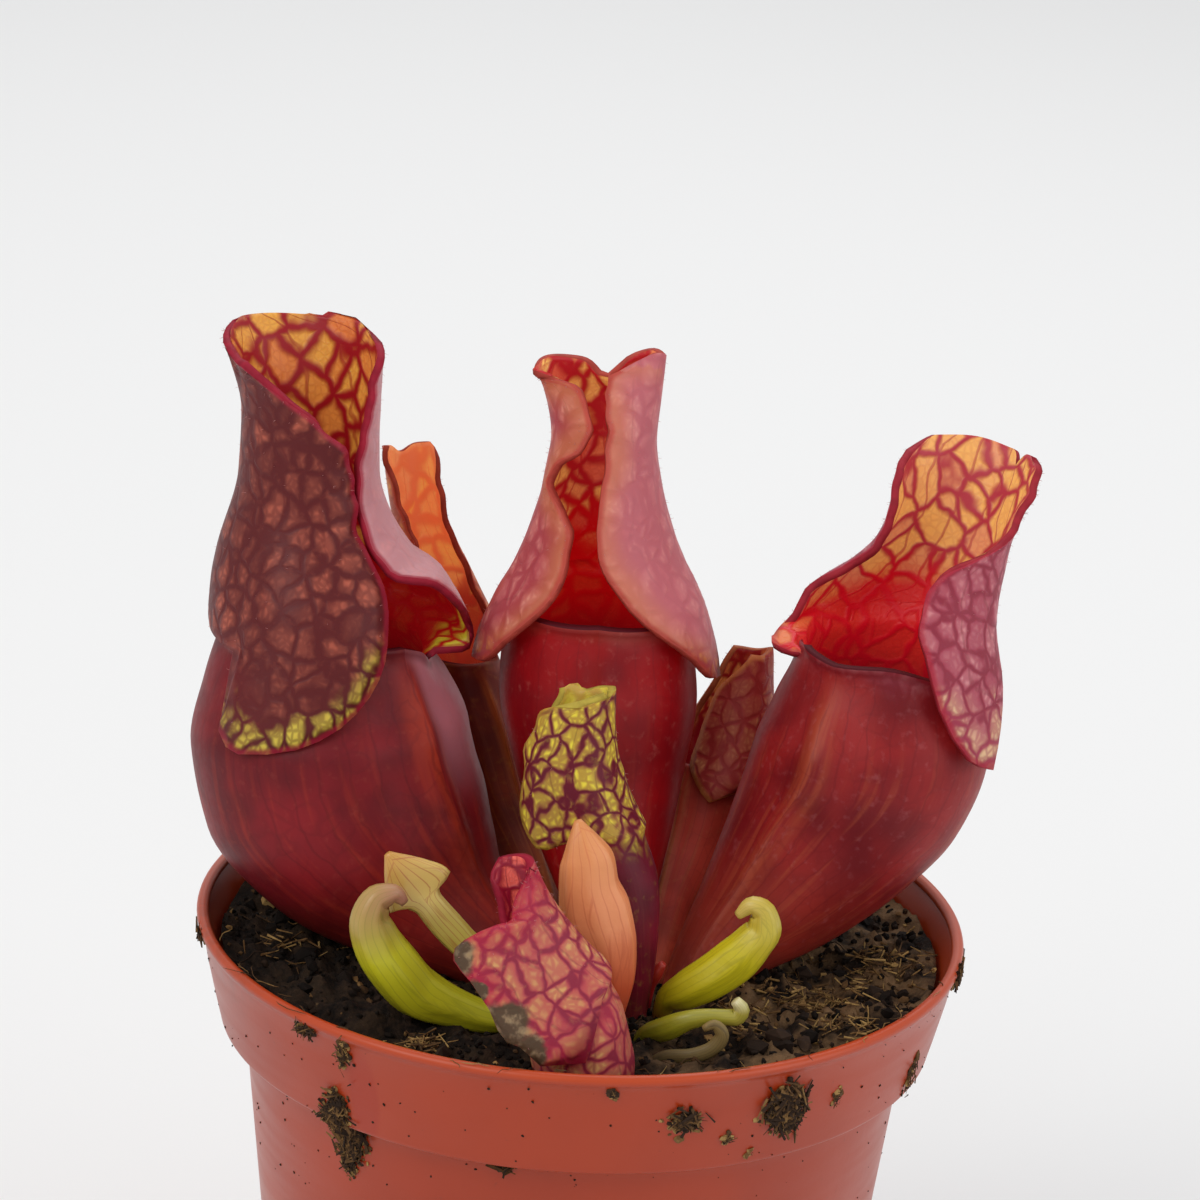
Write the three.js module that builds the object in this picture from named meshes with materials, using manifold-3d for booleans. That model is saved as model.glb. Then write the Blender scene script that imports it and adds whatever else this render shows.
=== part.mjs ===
// A young purple pitcher plant in a terracotta-coloured plastic nursery pot.
// Units are millimetres, +Z is up and the origin is the centre of the pot's underside.
// Every leaf is one solid of its own, drawn from rings stacked along its length.
import * as THREE from 'three';
import Module from 'manifold-3d';

const wasm = await Module();
wasm.setup();

// ---- driving dimensions ------------------------------------------------------------------
const POT_HEIGHT = 78;            // a nine centimetre nursery pot
const RIM_RADIUS = 45;
const BEAD_RADIUS = 0.7;          // the rounded lip that runs round the rim
const COLLAR_HEIGHT = 13.2;       // the band below the rim
const COLLAR_FOOT_RADIUS = 42;
const BODY_TOP_RADIUS = 39.1;
const BODY_FOOT_RADIUS = 32;
const WALL = 1.1;
const FOOT_RING_WIDTH = 3;
const FLOOR_LIFT = 1.0;           // how far the groove in the underside is raised
const FLOOR_THICKNESS = 1.4;
const CENTRE_PAD_RADIUS = 12;
const DRAIN_HOLES = 8;
const DRAIN_RADIUS = 3;
const DRAIN_RING_RADIUS = 20.5;
const POT_SIDES = 44;

const SOIL_LEVEL = 73;
const SOIL_GAP = 0.45;            // between the soil and the pot's wall or the rootstock
const HOLE_GAP = 0.7;             // what a stem's hole leaves round it
const SOIL_RINGS = 7;
const SOIL_SIDES = 30;
const CLOD_HEIGHT = 1.5;

const CROWN = [3.5, -15, 70.2];   // top of the rootstock that the leaves grow from
const CROWN_RADIUS = 9.5;
const CROWN_LENGTH = 16;

const BLADE = 0.9;                // wall of a pitcher
const CAVITY_START = 0.22;        // share of a tube's height where its hollow begins
const HOOD_ROOT = 1.2;            // how far a hood's sheet reaches down into the tube's wall

const COLOURS = {
  pot: 0xa8503a, soil: 0x2a1d16, rootstock: 0x5a3a26, pitcher: 0x7d1f33, rearPitcher: 0x9a4a2a,
  youngPitcher: 0xa8a03a, frontPitcher: 0xa8465c, bud: 0xe59a72, green: 0x8f9a24,
  pale: 0xc9bd6a, dry: 0x6b5a34, redBud: 0xa82a1c,
};

// ---- the pitchers ------------------------------------------------------------------------
// rings:  [height, x, y, half width, depth behind, depth in front, tilt, turn] of a ring's
//         middle; a ring lies level at tilt 0, and its front rises with the tilt
// right and left: [height, wrap, flare, droop] of the hood's two edges, each counted from the
//         pitcher's own back; wrap is how far round the edge reaches, in degrees, flare how far
//         it stands out from the ring and droop how far it hangs below it
// front:  the way the mouth faces, counted from +X, in degrees
// fold:   where the hood starts to leave the ring, on the right and on the left
// lip:    height of the mouth's front edge; columns: how many lie on each side of the mouth
//         and how many in the hood
const PITCHERS = {
  leaf_left_pitcher: {
    front: -42, fold: [80, 66], lip: 107.8, columns: [3, 14], colour: COLOURS.pitcher,
    rings: [
      [70.5, -3.6, -12.6, 2.0, 2.0, 2.0, 0, 0],
      [74.6, -8.4, -10.0, 4.5, 4.0, 4.5, 50, 0],
      [77.0, -16.4, -4.0, 9.0, 8.0, 9.0, 44, 0],
      [81.8, -23.3, 0.0, 13.8, 13.0, 13.5, 33, 0],
      [88.8, -28.7, 4.0, 16.6, 15.8, 16.5, 20, 0],
      [96.8, -30.7, 5.0, 16.6, 15.9, 16.0, 10, 0],
      [103.2, -31.4, 6.0, 14.6, 13.9, 14.2, 2, 0],
      [106.8, -31.7, 6.0, 12.7, 12.7, 12.9, -4, 0],
      [107.8, -31.8, 6.0, 12.2, 12.2, 12.6, -5, 0],
      [108.7, -32.0, 6.2, 13.4, 13.2, 13.6, -5, 0],
      [112.7, -32.8, 6.6, 12.6, 12.6, 12.6, -3, 0],
      [118.8, -34.0, 7.1, 10.4, 10.8, 10.2, -1, 0],
      [127.8, -34.3, 7.3, 8.1, 8.4, 8.0, 1, 0],
      [135.2, -34.5, 7.5, 7.9, 8.0, 7.9, 2, 0],
      [140.8, -35.2, 7.7, 8.4, 9.2, 8.5, 3, 0],
      [144.0, -35.8, 7.9, 9.0, 10.6, 9.2, 4, 0],
    ],
    right: [
      [108.7, 86, 0.2, 0], [109.3, 97, 3.9, 8.5], [110.1, 109, 5.0, 10.8], [111.4, 131, 5.0, 10.4],
      [114.1, 159, 4.0, 7.4], [116.0, 168, 3.4, 4.0], [118.8, 173, 2.2, 1.2], [123.0, 174, 0.6, 0.2],
      [127.8, 177, 0, 0], [131.8, 168, 0, 0], [135.2, 145, 0.2, 0], [138.2, 116, 0.3, 0],
      [140.8, 86, 0.4, 0], [142.6, 45, 0.4, 0], [144.0, 8, 0.2, 0],
    ],
    left: [
      [108.7, 88, 0.2, 0], [109.3, 95, 4.2, 6.6], [110.1, 112, 5.6, 4.6], [111.4, 128, 5.8, 1.2],
      [114.1, 152, 5.6, -1.0], [116.0, 162, 5.2, -1.2], [118.8, 178, 2.8, -0.4], [123.0, 181, 0.8, 0],
      [127.8, 178, 0, 0], [131.8, 174, 0, 0], [135.2, 166, 0.2, 0], [140.8, 152, 0.5, 0],
      [142.6, 146, 0.6, 1.0], [144.0, 138, 0.6, 2.6],
    ],
  },
  leaf_middle_pitcher: {
    front: -90, fold: [74, 74], lip: 112.3, columns: [3, 14], colour: COLOURS.pitcher,
    rings: [
      [70.5, 3.4, -7.6, 2.0, 2.0, 2.0, 0, 0],
      [77.9, 3.2, -4.2, 4.4, 4.0, 4.2, 22, 0],
      [85.0, 2.1, 2.0, 7.4, 7.0, 7.2, 18, 0],
      [93.9, 1.0, 8.0, 10.2, 10.0, 10.4, 10, 0],
      [102.0, 0.4, 10.0, 11.7, 11.4, 11.8, 3, 0],
      [108.0, 0.1, 10.5, 11.2, 11.0, 11.2, -2, 0],
      [111.5, 0.1, 10.5, 10.1, 10.1, 10.5, -6, 0],
      [112.3, 0.0, 10.5, 9.7, 9.7, 10.4, -7, 0],
      [112.9, 0.0, 10.8, 10.9, 10.6, 11.3, -7, 0],
      [116.2, 0.0, 11.2, 10.1, 9.8, 10.2, -4, 0],
      [121.3, -0.3, 11.6, 8.4, 8.6, 8.8, -1, 0],
      [127.6, -0.5, 11.8, 6.7, 7.0, 7.2, 2, 0],
      [132.4, -0.7, 12.0, 6.1, 6.4, 6.4, 4, 0],
      [141.4, -1.5, 12.4, 7.0, 6.6, 6.3, 8, 0],
    ],
    right: [
      [112.9, 84, 0.2, 0], [113.3, 106, 4.4, 6.6], [114.0, 119, 4.4, 6.2], [114.9, 130, 4.0, 4.0],
      [116.2, 144, 2.8, 1.6], [118.1, 153, 1.6, 0.6], [121.3, 156, 0.6, 0], [124.7, 146, 0.4, 0],
      [127.6, 118, 0.5, 0], [129.9, 126, 0.5, 0], [132.4, 160, 0.2, 0], [135.7, 166, 0, 0],
      [138.6, 158, 0.2, 0], [141.4, 100, 0.5, 1.0],
    ],
    left: [
      [112.9, 84, 0.2, 0], [113.3, 104, 4.2, 7.4], [114.0, 116, 4.4, 7.0], [114.9, 128, 4.2, 5.0],
      [116.2, 146, 3.6, 2.8], [118.1, 167, 1.8, 0.8], [121.3, 181, 1.0, 0], [124.7, 183, 0.8, 0],
      [127.6, 181, 0.6, 0], [132.4, 176, 0.3, 0], [138.6, 176, 0.3, 0], [141.4, 172, 0.2, 0],
    ],
  },
  leaf_right_pitcher: {
    front: -130, fold: [68, 62], lip: 110.2, columns: [3, 14], colour: COLOURS.pitcher,
    rings: [
      [70.5, 11.0, -13.0, 2.0, 2.0, 2.0, 0, 14],
      [75.4, 15.0, -8.4, 4.4, 4.2, 4.5, 48, 14],
      [79.7, 21.1, -3.0, 8.0, 7.4, 8.4, 44, 13],
      [85.5, 26.6, 1.0, 11.0, 10.6, 11.6, 36, 12],
      [91.7, 30.5, 3.0, 13.0, 12.6, 13.2, 25, 11],
      [98.1, 32.6, 4.2, 13.6, 13.2, 13.6, 13, 9],
      [103.5, 33.6, 5.0, 12.8, 12.5, 12.7, 4, 6],
      [109.0, 33.8, 5.5, 10.7, 10.6, 10.7, -6, 4],
      [110.2, 33.8, 5.6, 10.3, 10.2, 10.6, -7, 3],
      [111.5, 33.9, 5.8, 11.5, 11.2, 11.6, -7, 0],
      [115.2, 34.9, 6.5, 11.0, 10.7, 10.9, -4, 0],
      [120.3, 37.2, 7.1, 9.3, 9.2, 9.2, -2, 0],
      [125.8, 39.6, 7.8, 7.8, 8.0, 7.7, 2, 0],
      [131.3, 41.2, 8.4, 8.4, 8.3, 8.2, 7, 0],
      [134.3, 41.8, 8.8, 9.2, 8.8, 8.8, 10, 0],
    ],
    right: [
      [111.5, 78, 0.2, 0], [112.3, 98, 3.2, 6.0], [113.3, 106, 4.8, 5.8], [114.1, 109, 5.4, 5.0],
      [115.2, 110, 5.0, 3.6], [116.6, 110, 3.6, 2.2], [118.2, 108, 2.0, 1.2], [120.3, 110, 1.2, 0.6],
      [124.0, 120, 0.5, 0], [128.5, 128, 0.3, 0], [131.3, 124, 0.4, 0], [133.2, 116, 0.6, 0.5],
      [134.3, 98, 0.6, 1.0],
    ],
    left: [
      [111.5, 74, 0.2, 0], [112.3, 88, 4.2, 8.3], [113.3, 98, 5.2, 12.4], [114.1, 110, 5.0, 11.4],
      [115.2, 124, 3.8, 6.2], [116.6, 133, 2.6, 1.6], [118.2, 140, 1.6, 0.4], [120.3, 142, 0.6, 0],
      [122.4, 138, 0.2, 0], [124.0, 116, 0.2, 0], [125.8, 76, 0.2, 0], [128.5, 60, 0.3, 0],
      [131.3, 52, 0.8, 0], [133.2, 38, 1.2, 0], [134.3, 14, 1.0, 0],
    ],
  },
  leaf_rear_left_pitcher: {
    front: -60, fold: [78, 78], lip: 100.0, columns: [2, 8], colour: COLOURS.rearPitcher,
    rings: [
      [70.5, -1.6, -9.0, 1.5, 1.5, 1.5, 0, 0],
      [73.0, -2.8, -4.6, 2.1, 2.0, 2.1, 30, 0],
      [76.5, -5.0, 5.5, 3.0, 3.0, 3.2, 34, 0],
      [82.6, -9.8, 18.0, 4.4, 4.4, 4.6, 24, 0],
      [92.0, -13.8, 23.6, 5.1, 5.1, 5.2, 12, 0],
      [99.0, -16.4, 25.6, 4.6, 4.6, 4.8, 3, 0],
      [100.0, -16.8, 25.7, 4.3, 4.3, 4.5, 2, 0],
      [100.8, -17.0, 25.8, 5.3, 5.2, 5.3, 1, 0],
      [103.8, -17.9, 25.9, 4.7, 4.6, 4.6, 0, 0],
      [110.0, -20.0, 26.2, 3.8, 3.8, 3.8, 2, 0],
      [117.2, -22.6, 26.6, 3.2, 3.2, 3.2, 4, 0],
      [125.5, -24.0, 27.4, 3.4, 3.0, 3.0, 14, 0],
    ],
    right: [
      [100.8, 88, 0.2, 0], [102.0, 106, 2.2, 3.0], [103.8, 122, 2.0, 2.6], [106.8, 134, 1.2, 1.6],
      [110.0, 138, 0.6, 0.6], [117.2, 126, 0.4, 0], [122.0, 104, 0.3, 0], [125.5, 76, 0.3, 0],
    ],
    left: [
      [100.8, 88, 0.2, 0], [102.0, 104, 2.4, 3.0], [103.8, 120, 2.6, 3.0], [106.8, 132, 2.2, 2.4],
      [110.0, 138, 1.5, 1.4], [117.2, 120, 0.4, 0], [122.0, 100, 0.3, 0], [125.5, 76, 0.3, 0],
    ],
  },
  leaf_rear_right_pitcher: {
    front: -130, fold: [78, 78], lip: 90.9, columns: [2, 8], colour: COLOURS.pitcher,
    rings: [
      [70.5, 8.2, -8.6, 1.5, 1.5, 1.5, 0, 0],
      [73.6, 9.4, -4.4, 2.2, 2.1, 2.2, 28, 0],
      [78.0, 11.0, 3.6, 3.3, 3.2, 3.4, 33, 0],
      [83.6, 13.8, 13.6, 4.9, 4.9, 5.1, 24, 0],
      [89.9, 15.2, 17.8, 5.5, 5.4, 5.6, 12, 0],
      [90.9, 15.4, 18.0, 5.1, 5.0, 5.2, 9, 0],
      [91.9, 15.7, 18.2, 6.1, 5.8, 6.1, 6, 0],
      [96.4, 17.0, 18.8, 5.0, 4.6, 4.6, 4, 0],
      [100.0, 17.8, 19.2, 3.8, 3.6, 3.4, 8, 0],
      [104.6, 18.3, 19.8, 2.4, 2.2, 2.2, 14, 0],
    ],
    right: [
      [91.9, 92, 0.2, 0], [93.3, 124, 2.0, 3.0], [96.4, 140, 1.5, 2.6], [100.0, 130, 0.6, 1.0],
      [104.6, 96, 0, 0],
    ],
    left: [
      [91.9, 92, 0.2, 0], [93.3, 120, 2.2, 4.6], [96.4, 130, 1.2, 2.6], [100.0, 120, 0.4, 0],
      [104.6, 96, 0, 0],
    ],
  },
  leaf_young_pitcher: {
    front: 168, fold: [76, 76], lip: 94.0, columns: [2, 10], colour: COLOURS.youngPitcher,
    rings: [
      [70.5, 6.4, -17.6, 1.5, 1.5, 1.5, 0, 0],
      [77.0, 6.3, -17.6, 2.3, 2.2, 2.3, 8, 0],
      [83.3, 5.6, -17.0, 3.4, 3.3, 3.5, 8, 0],
      [89.9, 4.1, -15.5, 4.4, 4.3, 4.6, 6, 0],
      [94.0, 2.0, -14.2, 4.7, 4.6, 4.8, 2, 0],
      [95.0, 1.3, -13.9, 5.6, 5.4, 5.7, 0, 0],
      [97.8, -0.4, -13.2, 6.0, 5.4, 6.0, 0, 0],
      [100.1, -1.3, -13.0, 5.8, 5.4, 5.8, 0, 0],
      [103.6, -2.0, -12.7, 5.1, 5.0, 5.0, 2, 0],
      [110.0, -1.8, -12.0, 3.8, 3.8, 3.6, 6, 0],
    ],
    right: [
      [95.0, 98, 0.2, 0], [96.5, 118, 1.6, 2.4], [97.8, 135, 1.2, 1.4], [100.1, 140, 0.6, 0.6],
      [103.6, 140, 0.3, 0], [108.8, 134, 0.3, 0], [110.0, 100, 0.3, 0],
    ],
    left: [
      [95.0, 100, 0.2, 0], [96.5, 132, 1.6, 3.6], [97.8, 150, 1.2, 3.0], [100.1, 157, 0.6, 1.2],
      [103.6, 158, 0.3, 0], [107.1, 150, 0.2, 0], [108.8, 120, 0.2, 0], [110.0, 20, 0.2, 0],
    ],
  },
  leaf_front_pitcher: {
    front: -165, fold: [66, 58], lip: 82.3, columns: [2, 10], colour: COLOURS.frontPitcher,
    rings: [
      [68.0, 4.0, -33.0, 3.0, 2.6, 3.0, 0, 0],
      [72.0, 3.0, -33.6, 4.6, 3.8, 4.2, -5, 0],
      [75.4, 1.7, -34.0, 6.2, 5.0, 5.8, -14, 0],
      [79.5, 0.6, -34.0, 6.2, 5.0, 5.8, -26, 0],
      [82.3, -0.4, -33.7, 5.4, 4.5, 5.0, -32, 0],
      [83.0, -0.7, -33.6, 6.2, 5.2, 5.8, -34, 0],
      [84.5, -1.9, -33.0, 5.6, 4.7, 5.2, -36, 0],
      [87.8, -4.3, -32.2, 4.4, 4.0, 4.1, -38, 0],
      [92.3, -6.7, -31.4, 3.5, 3.2, 3.2, -32, 0],
      [95.7, -8.3, -30.6, 3.1, 3.0, 3.0, -20, 0],
    ],
    right: [
      [83.0, 84, 0.2, 0], [83.6, 96, 1.6, 1.0], [84.5, 110, 1.4, 1.0], [86.2, 128, 1.0, 0.6],
      [87.8, 138, 0.6, 0.3], [90.0, 144, 0.3, 0], [92.3, 138, 0.2, 0], [94.2, 126, 0.2, 0],
      [95.7, 96, 0.2, 0],
    ],
    left: [
      [83.0, 70, 0.2, 0], [83.6, 82, 4.2, 7.0], [84.5, 100, 5.6, 7.6], [86.2, 124, 6.0, 6.4],
      [87.8, 146, 4.6, 3.0], [90.0, 152, 1.4, 0.6], [92.3, 138, 0.3, 0], [94.2, 112, 0.2, 0],
      [95.7, 60, 0.2, 0],
    ],
  },
};

// ---- the closed leaves -------------------------------------------------------------------
// line: [x, y, z, half width, half depth] along a leaf that hasn't opened yet
// front: the way its flat side faces, in degrees from +X
const CLOSED_LEAVES = {
  leaf_salmon_bud: {
    front: -80, colour: COLOURS.bud,
    line: [
      [3.4, -22.2, 70.5, 1.0, 1.0], [3.9, -22.9, 79.0, 2.5, 1.7], [3.0, -23.4, 83.8, 3.5, 2.0],
      [1.6, -23.8, 88.1, 3.9, 2.1], [0.7, -24.0, 91.5, 3.3, 2.0], [0.4, -24.0, 94.2, 3.0, 1.8],
      [-0.3, -23.8, 96.7, 1.8, 1.2], [-1.0, -23.4, 98.9, 0.4, 0.4],
    ],
  },
  leaf_green_left: {
    front: -60, colour: COLOURS.green,
    line: [
      [-1.8, -20.6, 70.9, 0.9, 0.9], [-5.3, -22.0, 73.6, 1.3, 1.3], [-10.2, -23.2, 74.3, 1.8, 2.0],
      [-13.5, -23.8, 75.4, 2.2, 2.3], [-17.6, -24.4, 77.3, 2.9, 2.8], [-20.1, -24.8, 80.1, 3.0, 2.9],
      [-22.5, -25.0, 83.7, 2.7, 2.6], [-23.4, -25.0, 86.4, 2.2, 2.1], [-22.6, -24.8, 88.7, 1.6, 1.6],
      [-20.8, -24.6, 89.2, 1.1, 1.1], [-19.6, -24.5, 88.2, 0.5, 0.5],
    ],
  },
  leaf_arrow: {
    front: -75, colour: COLOURS.pale,
    line: [
      [-2.6, -17.2, 72.0, 0.9, 0.9], [-5.6, -18.6, 76.4, 1.1, 1.0], [-9.0, -19.2, 79.1, 1.4, 1.0],
      [-12.3, -20.0, 81.2, 1.7, 1.0], [-15.1, -20.6, 84.2, 1.8, 0.9], [-17.0, -21.0, 86.6, 1.7, 0.9],
      [-17.7, -21.0, 87.4, 2.2, 0.8], [-18.1, -21.0, 88.0, 4.0, 0.7], [-19.6, -21.0, 89.7, 3.0, 0.8],
      [-21.0, -21.0, 91.3, 1.6, 0.7], [-22.0, -21.0, 92.5, 0.4, 0.4],
    ],
  },
  leaf_green_right: {
    front: -100, colour: COLOURS.green,
    line: [
      [9.6, -16.6, 72.4, 0.9, 0.9], [10.4, -18.0, 75.4, 1.4, 1.3], [12.6, -19.5, 77.4, 2.2, 1.9],
      [15.2, -20.0, 79.4, 2.5, 2.2], [17.4, -20.2, 81.4, 2.6, 2.2], [19.3, -20.4, 83.8, 2.3, 2.1],
      [20.6, -20.4, 86.1, 1.9, 1.8], [20.3, -20.4, 88.0, 1.4, 1.4], [19.1, -20.4, 88.6, 1.1, 1.1],
      [17.5, -20.4, 87.3, 0.5, 0.5],
    ],
  },
  leaf_green_low: {
    front: -95, colour: COLOURS.green,
    line: [
      [7.0, -22.4, 71.0, 0.9, 0.9], [8.4, -24.6, 74.0, 1.2, 1.0], [10.5, -26.3, 75.7, 1.4, 1.1],
      [13.1, -27.0, 77.3, 1.1, 0.9], [15.8, -27.0, 77.8, 0.9, 0.8], [17.8, -27.0, 77.8, 1.0, 0.8],
      [18.5, -27.0, 78.8, 0.9, 0.8], [17.7, -27.0, 79.9, 0.6, 0.6],
    ],
  },
  leaf_dry_curl: {
    front: -95, colour: COLOURS.dry,
    line: [
      [8.0, -28.2, 71.4, 0.7, 0.6], [10.6, -29.2, 73.6, 0.8, 0.6], [13.5, -30.0, 74.3, 0.9, 0.6],
      [15.6, -30.0, 75.4, 0.9, 0.6], [16.4, -30.0, 77.0, 0.8, 0.6], [15.4, -30.0, 78.2, 0.6, 0.5],
      [14.3, -30.0, 77.6, 0.4, 0.4],
    ],
  },
  leaf_red_bud: {
    front: -90, colour: COLOURS.redBud,
    line: [
      [8.0, -14.6, 72.0, 0.5, 0.5], [8.3, -14.8, 75.6, 0.7, 0.7], [8.9, -15.2, 77.2, 0.8, 0.8],
      [9.7, -15.4, 78.7, 0.4, 0.4],
    ],
  },
};

const radians = (degrees) => degrees * Math.PI / 180;

// A smooth curve through values at rising knots that never swings past them.
function easeThrough(knots, values) {
  const slopes = knots.map(() => 0);
  const steps = knots.slice(1).map((knot, i) => knot - knots[i]);
  const rises = steps.map((step, i) => (values[i + 1] - values[i]) / step);
  slopes[0] = rises[0];
  slopes[knots.length - 1] = rises[rises.length - 1];
  for (let i = 1; i < knots.length - 1; i++) {
    if (rises[i - 1] * rises[i] > 0) {
      const before = 2 * steps[i] + steps[i - 1];
      const after = steps[i] + 2 * steps[i - 1];
      slopes[i] = (before + after) / (before / rises[i - 1] + after / rises[i]);
    }
  }
  return (at) => {
    let i = 0;
    while (i < knots.length - 2 && at >= knots[i + 1]) i++;
    const t = THREE.MathUtils.clamp((at - knots[i]) / steps[i], 0, 1);
    const t2 = t * t;
    const t3 = t2 * t;
    return (2 * t3 - 3 * t2 + 1) * values[i] + (t3 - 2 * t2 + t) * steps[i] * slopes[i]
      + (3 * t2 - 2 * t3) * values[i + 1] + (t3 - t2) * steps[i] * slopes[i + 1];
  };
}

// One smooth curve for each column of a table whose first column holds the knots.
function readTable(table) {
  const knots = table.map((row) => row[0]);
  const columns = table[0].slice(1).map((_, c) => easeThrough(knots, table.map((row) => row[c + 1])));
  return (at) => columns.map((column) => column(at));
}

// A pitcher as a function of height and of the angle from the middle of its back, negative to
// the right; grow makes the ring wider all round.
function pitcherSheet(pitcher) {
  const ring = readTable(pitcher.rings);
  const edges = [pitcher.right, pitcher.left].map(readTable);
  const wrapAt = (height, side) => edges[side](Math.max(height, pitcher.right[0][0]))[0];
  const point = (height, angle, grow = 0) => {
    const [x, y, width, behind, before, tilt, turn] = ring(height);
    const side = angle < 0 ? 0 : 1;
    const facing = radians(pitcher.front + turn);
    const lean = radians(tilt);
    const level = new THREE.Vector3(Math.cos(facing), Math.sin(facing), 0);
    const sideways = new THREE.Vector3(-Math.sin(facing), Math.cos(facing), 0);
    const forward = level.clone().multiplyScalar(Math.cos(lean)).setZ(Math.sin(lean));
    const upward = level.clone().multiplyScalar(-Math.sin(lean)).setZ(Math.cos(lean));
    const around = radians(angle);
    const reach = grow + (Math.cos(around) > 0 ? behind : before);
    const spoke = forward.multiplyScalar(-Math.cos(around) * reach)
      .addScaledVector(sideways, Math.sin(around) * (width + grow));
    const middle = new THREE.Vector3(x, y, height).add(spoke);
    if (height <= pitcher.lip) return middle;
    const [wrap, flare, droop] = edges[side](height);
    const fold = pitcher.fold[side];
    const free = THREE.MathUtils.clamp((Math.abs(angle) - fold) / Math.max(wrap - fold, 1), 0, 1);
    return middle.addScaledVector(spoke.normalize(), flare * free ** 0.85)
      .addScaledVector(upward, -droop * free ** 1.4);
  };
  return { wrapAt, point };
}

// The heights of a pitcher's rows: every ring of the tube, one more between two that lie far
// apart, and every point of the hood's edges.
function pitcherRows(pitcher) {
  const heights = pitcher.rings.map((ring) => ring[0]);
  const tube = heights.filter((height) => height <= pitcher.lip);
  const between = [];
  for (let i = 1; i < tube.length; i++) {
    if (tube[i] - tube[i - 1] > 6) between.push((tube[i] + tube[i - 1]) / 2);
  }
  const hood = [];
  for (const [height] of [...pitcher.right, ...pitcher.left]) {
    if (!hood.some((other) => Math.abs(other - height) < 0.45)) hood.push(height);
  }
  const rising = (a, b) => a - b;
  return { tube: [...tube, ...between].sort(rising), hood: hood.sort(rising) };
}

function meshFrom(points, faces) {
  const geometry = new THREE.BufferGeometry();
  geometry.setAttribute('position',
    new THREE.Float32BufferAttribute(points.flatMap((point) => point.toArray()), 3));
  geometry.setIndex(faces.flat());
  return geometry;
}

// The two triangles of a square whose corners run anticlockwise when seen from outside.
const square = (a, b, c, d) => [[a, b, c], [a, c, d]];

// A closed fan over a loop of points, round their middle.
function fan(points, loop) {
  const middle = loop.reduce((sum, i) => sum.add(points[i]), new THREE.Vector3());
  points.push(middle.divideScalar(loop.length));
  return loop.map((a, i) => [points.length - 1, a, loop[(i + 1) % loop.length]]);
}

// The angles of a tube's columns, from one side of the front to the other. Low down they are
// even; at the lip those behind the mouth's corners bunch up to carry the hood.
function tubeAngles(pitcher, sheet, height) {
  const [front, hood] = pitcher.columns;
  const total = 2 * front + hood;
  const start = pitcher.rings[0][0];
  const share = THREE.MathUtils.smoothstep(height, start, pitcher.lip);
  const corners = [-sheet.wrapAt(height, 0), sheet.wrapAt(height, 1)];
  return Array.from({ length: total }, (_, i) => {
    const even = -180 + 360 * i / total;
    let bunched = -180 + (corners[0] + 180) * i / front;
    if (i > front) bunched = corners[0] + (corners[1] - corners[0]) * (i - front) / hood;
    if (i > front + hood) bunched = corners[1] + (180 - corners[1]) * (i - front - hood) / front;
    return even + (bunched - even) * share;
  });
}

// Turned so that the middle column of the hood stays at the back on both of its halves.
function hoodAngles(pitcher, sheet, height) {
  const hood = pitcher.columns[1];
  return Array.from({ length: hood + 1 }, (_, i) => {
    const share = 2 * i / hood - 1;
    return share * sheet.wrapAt(height, share < 0 ? 0 : 1);
  });
}

// The rings of a tube joined up and closed by a fan at either end.
function closedTube(rings) {
  const points = rings.flat();
  const total = rings[0].length;
  const faces = [];
  for (let r = 0; r < rings.length - 1; r++) {
    for (let c = 0; c < total; c++) {
      const next = (c + 1) % total;
      const [low, high] = [r * total, (r + 1) * total];
      faces.push(...square(low + c, high + c, high + next, low + next));
    }
  }
  const foot = Array.from({ length: total }, (_, i) => i);
  const top = foot.map((i) => i + (rings.length - 1) * total).reverse();
  faces.push(...fan(points, foot), ...fan(points, top));
  return meshFrom(points, faces);
}

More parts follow.
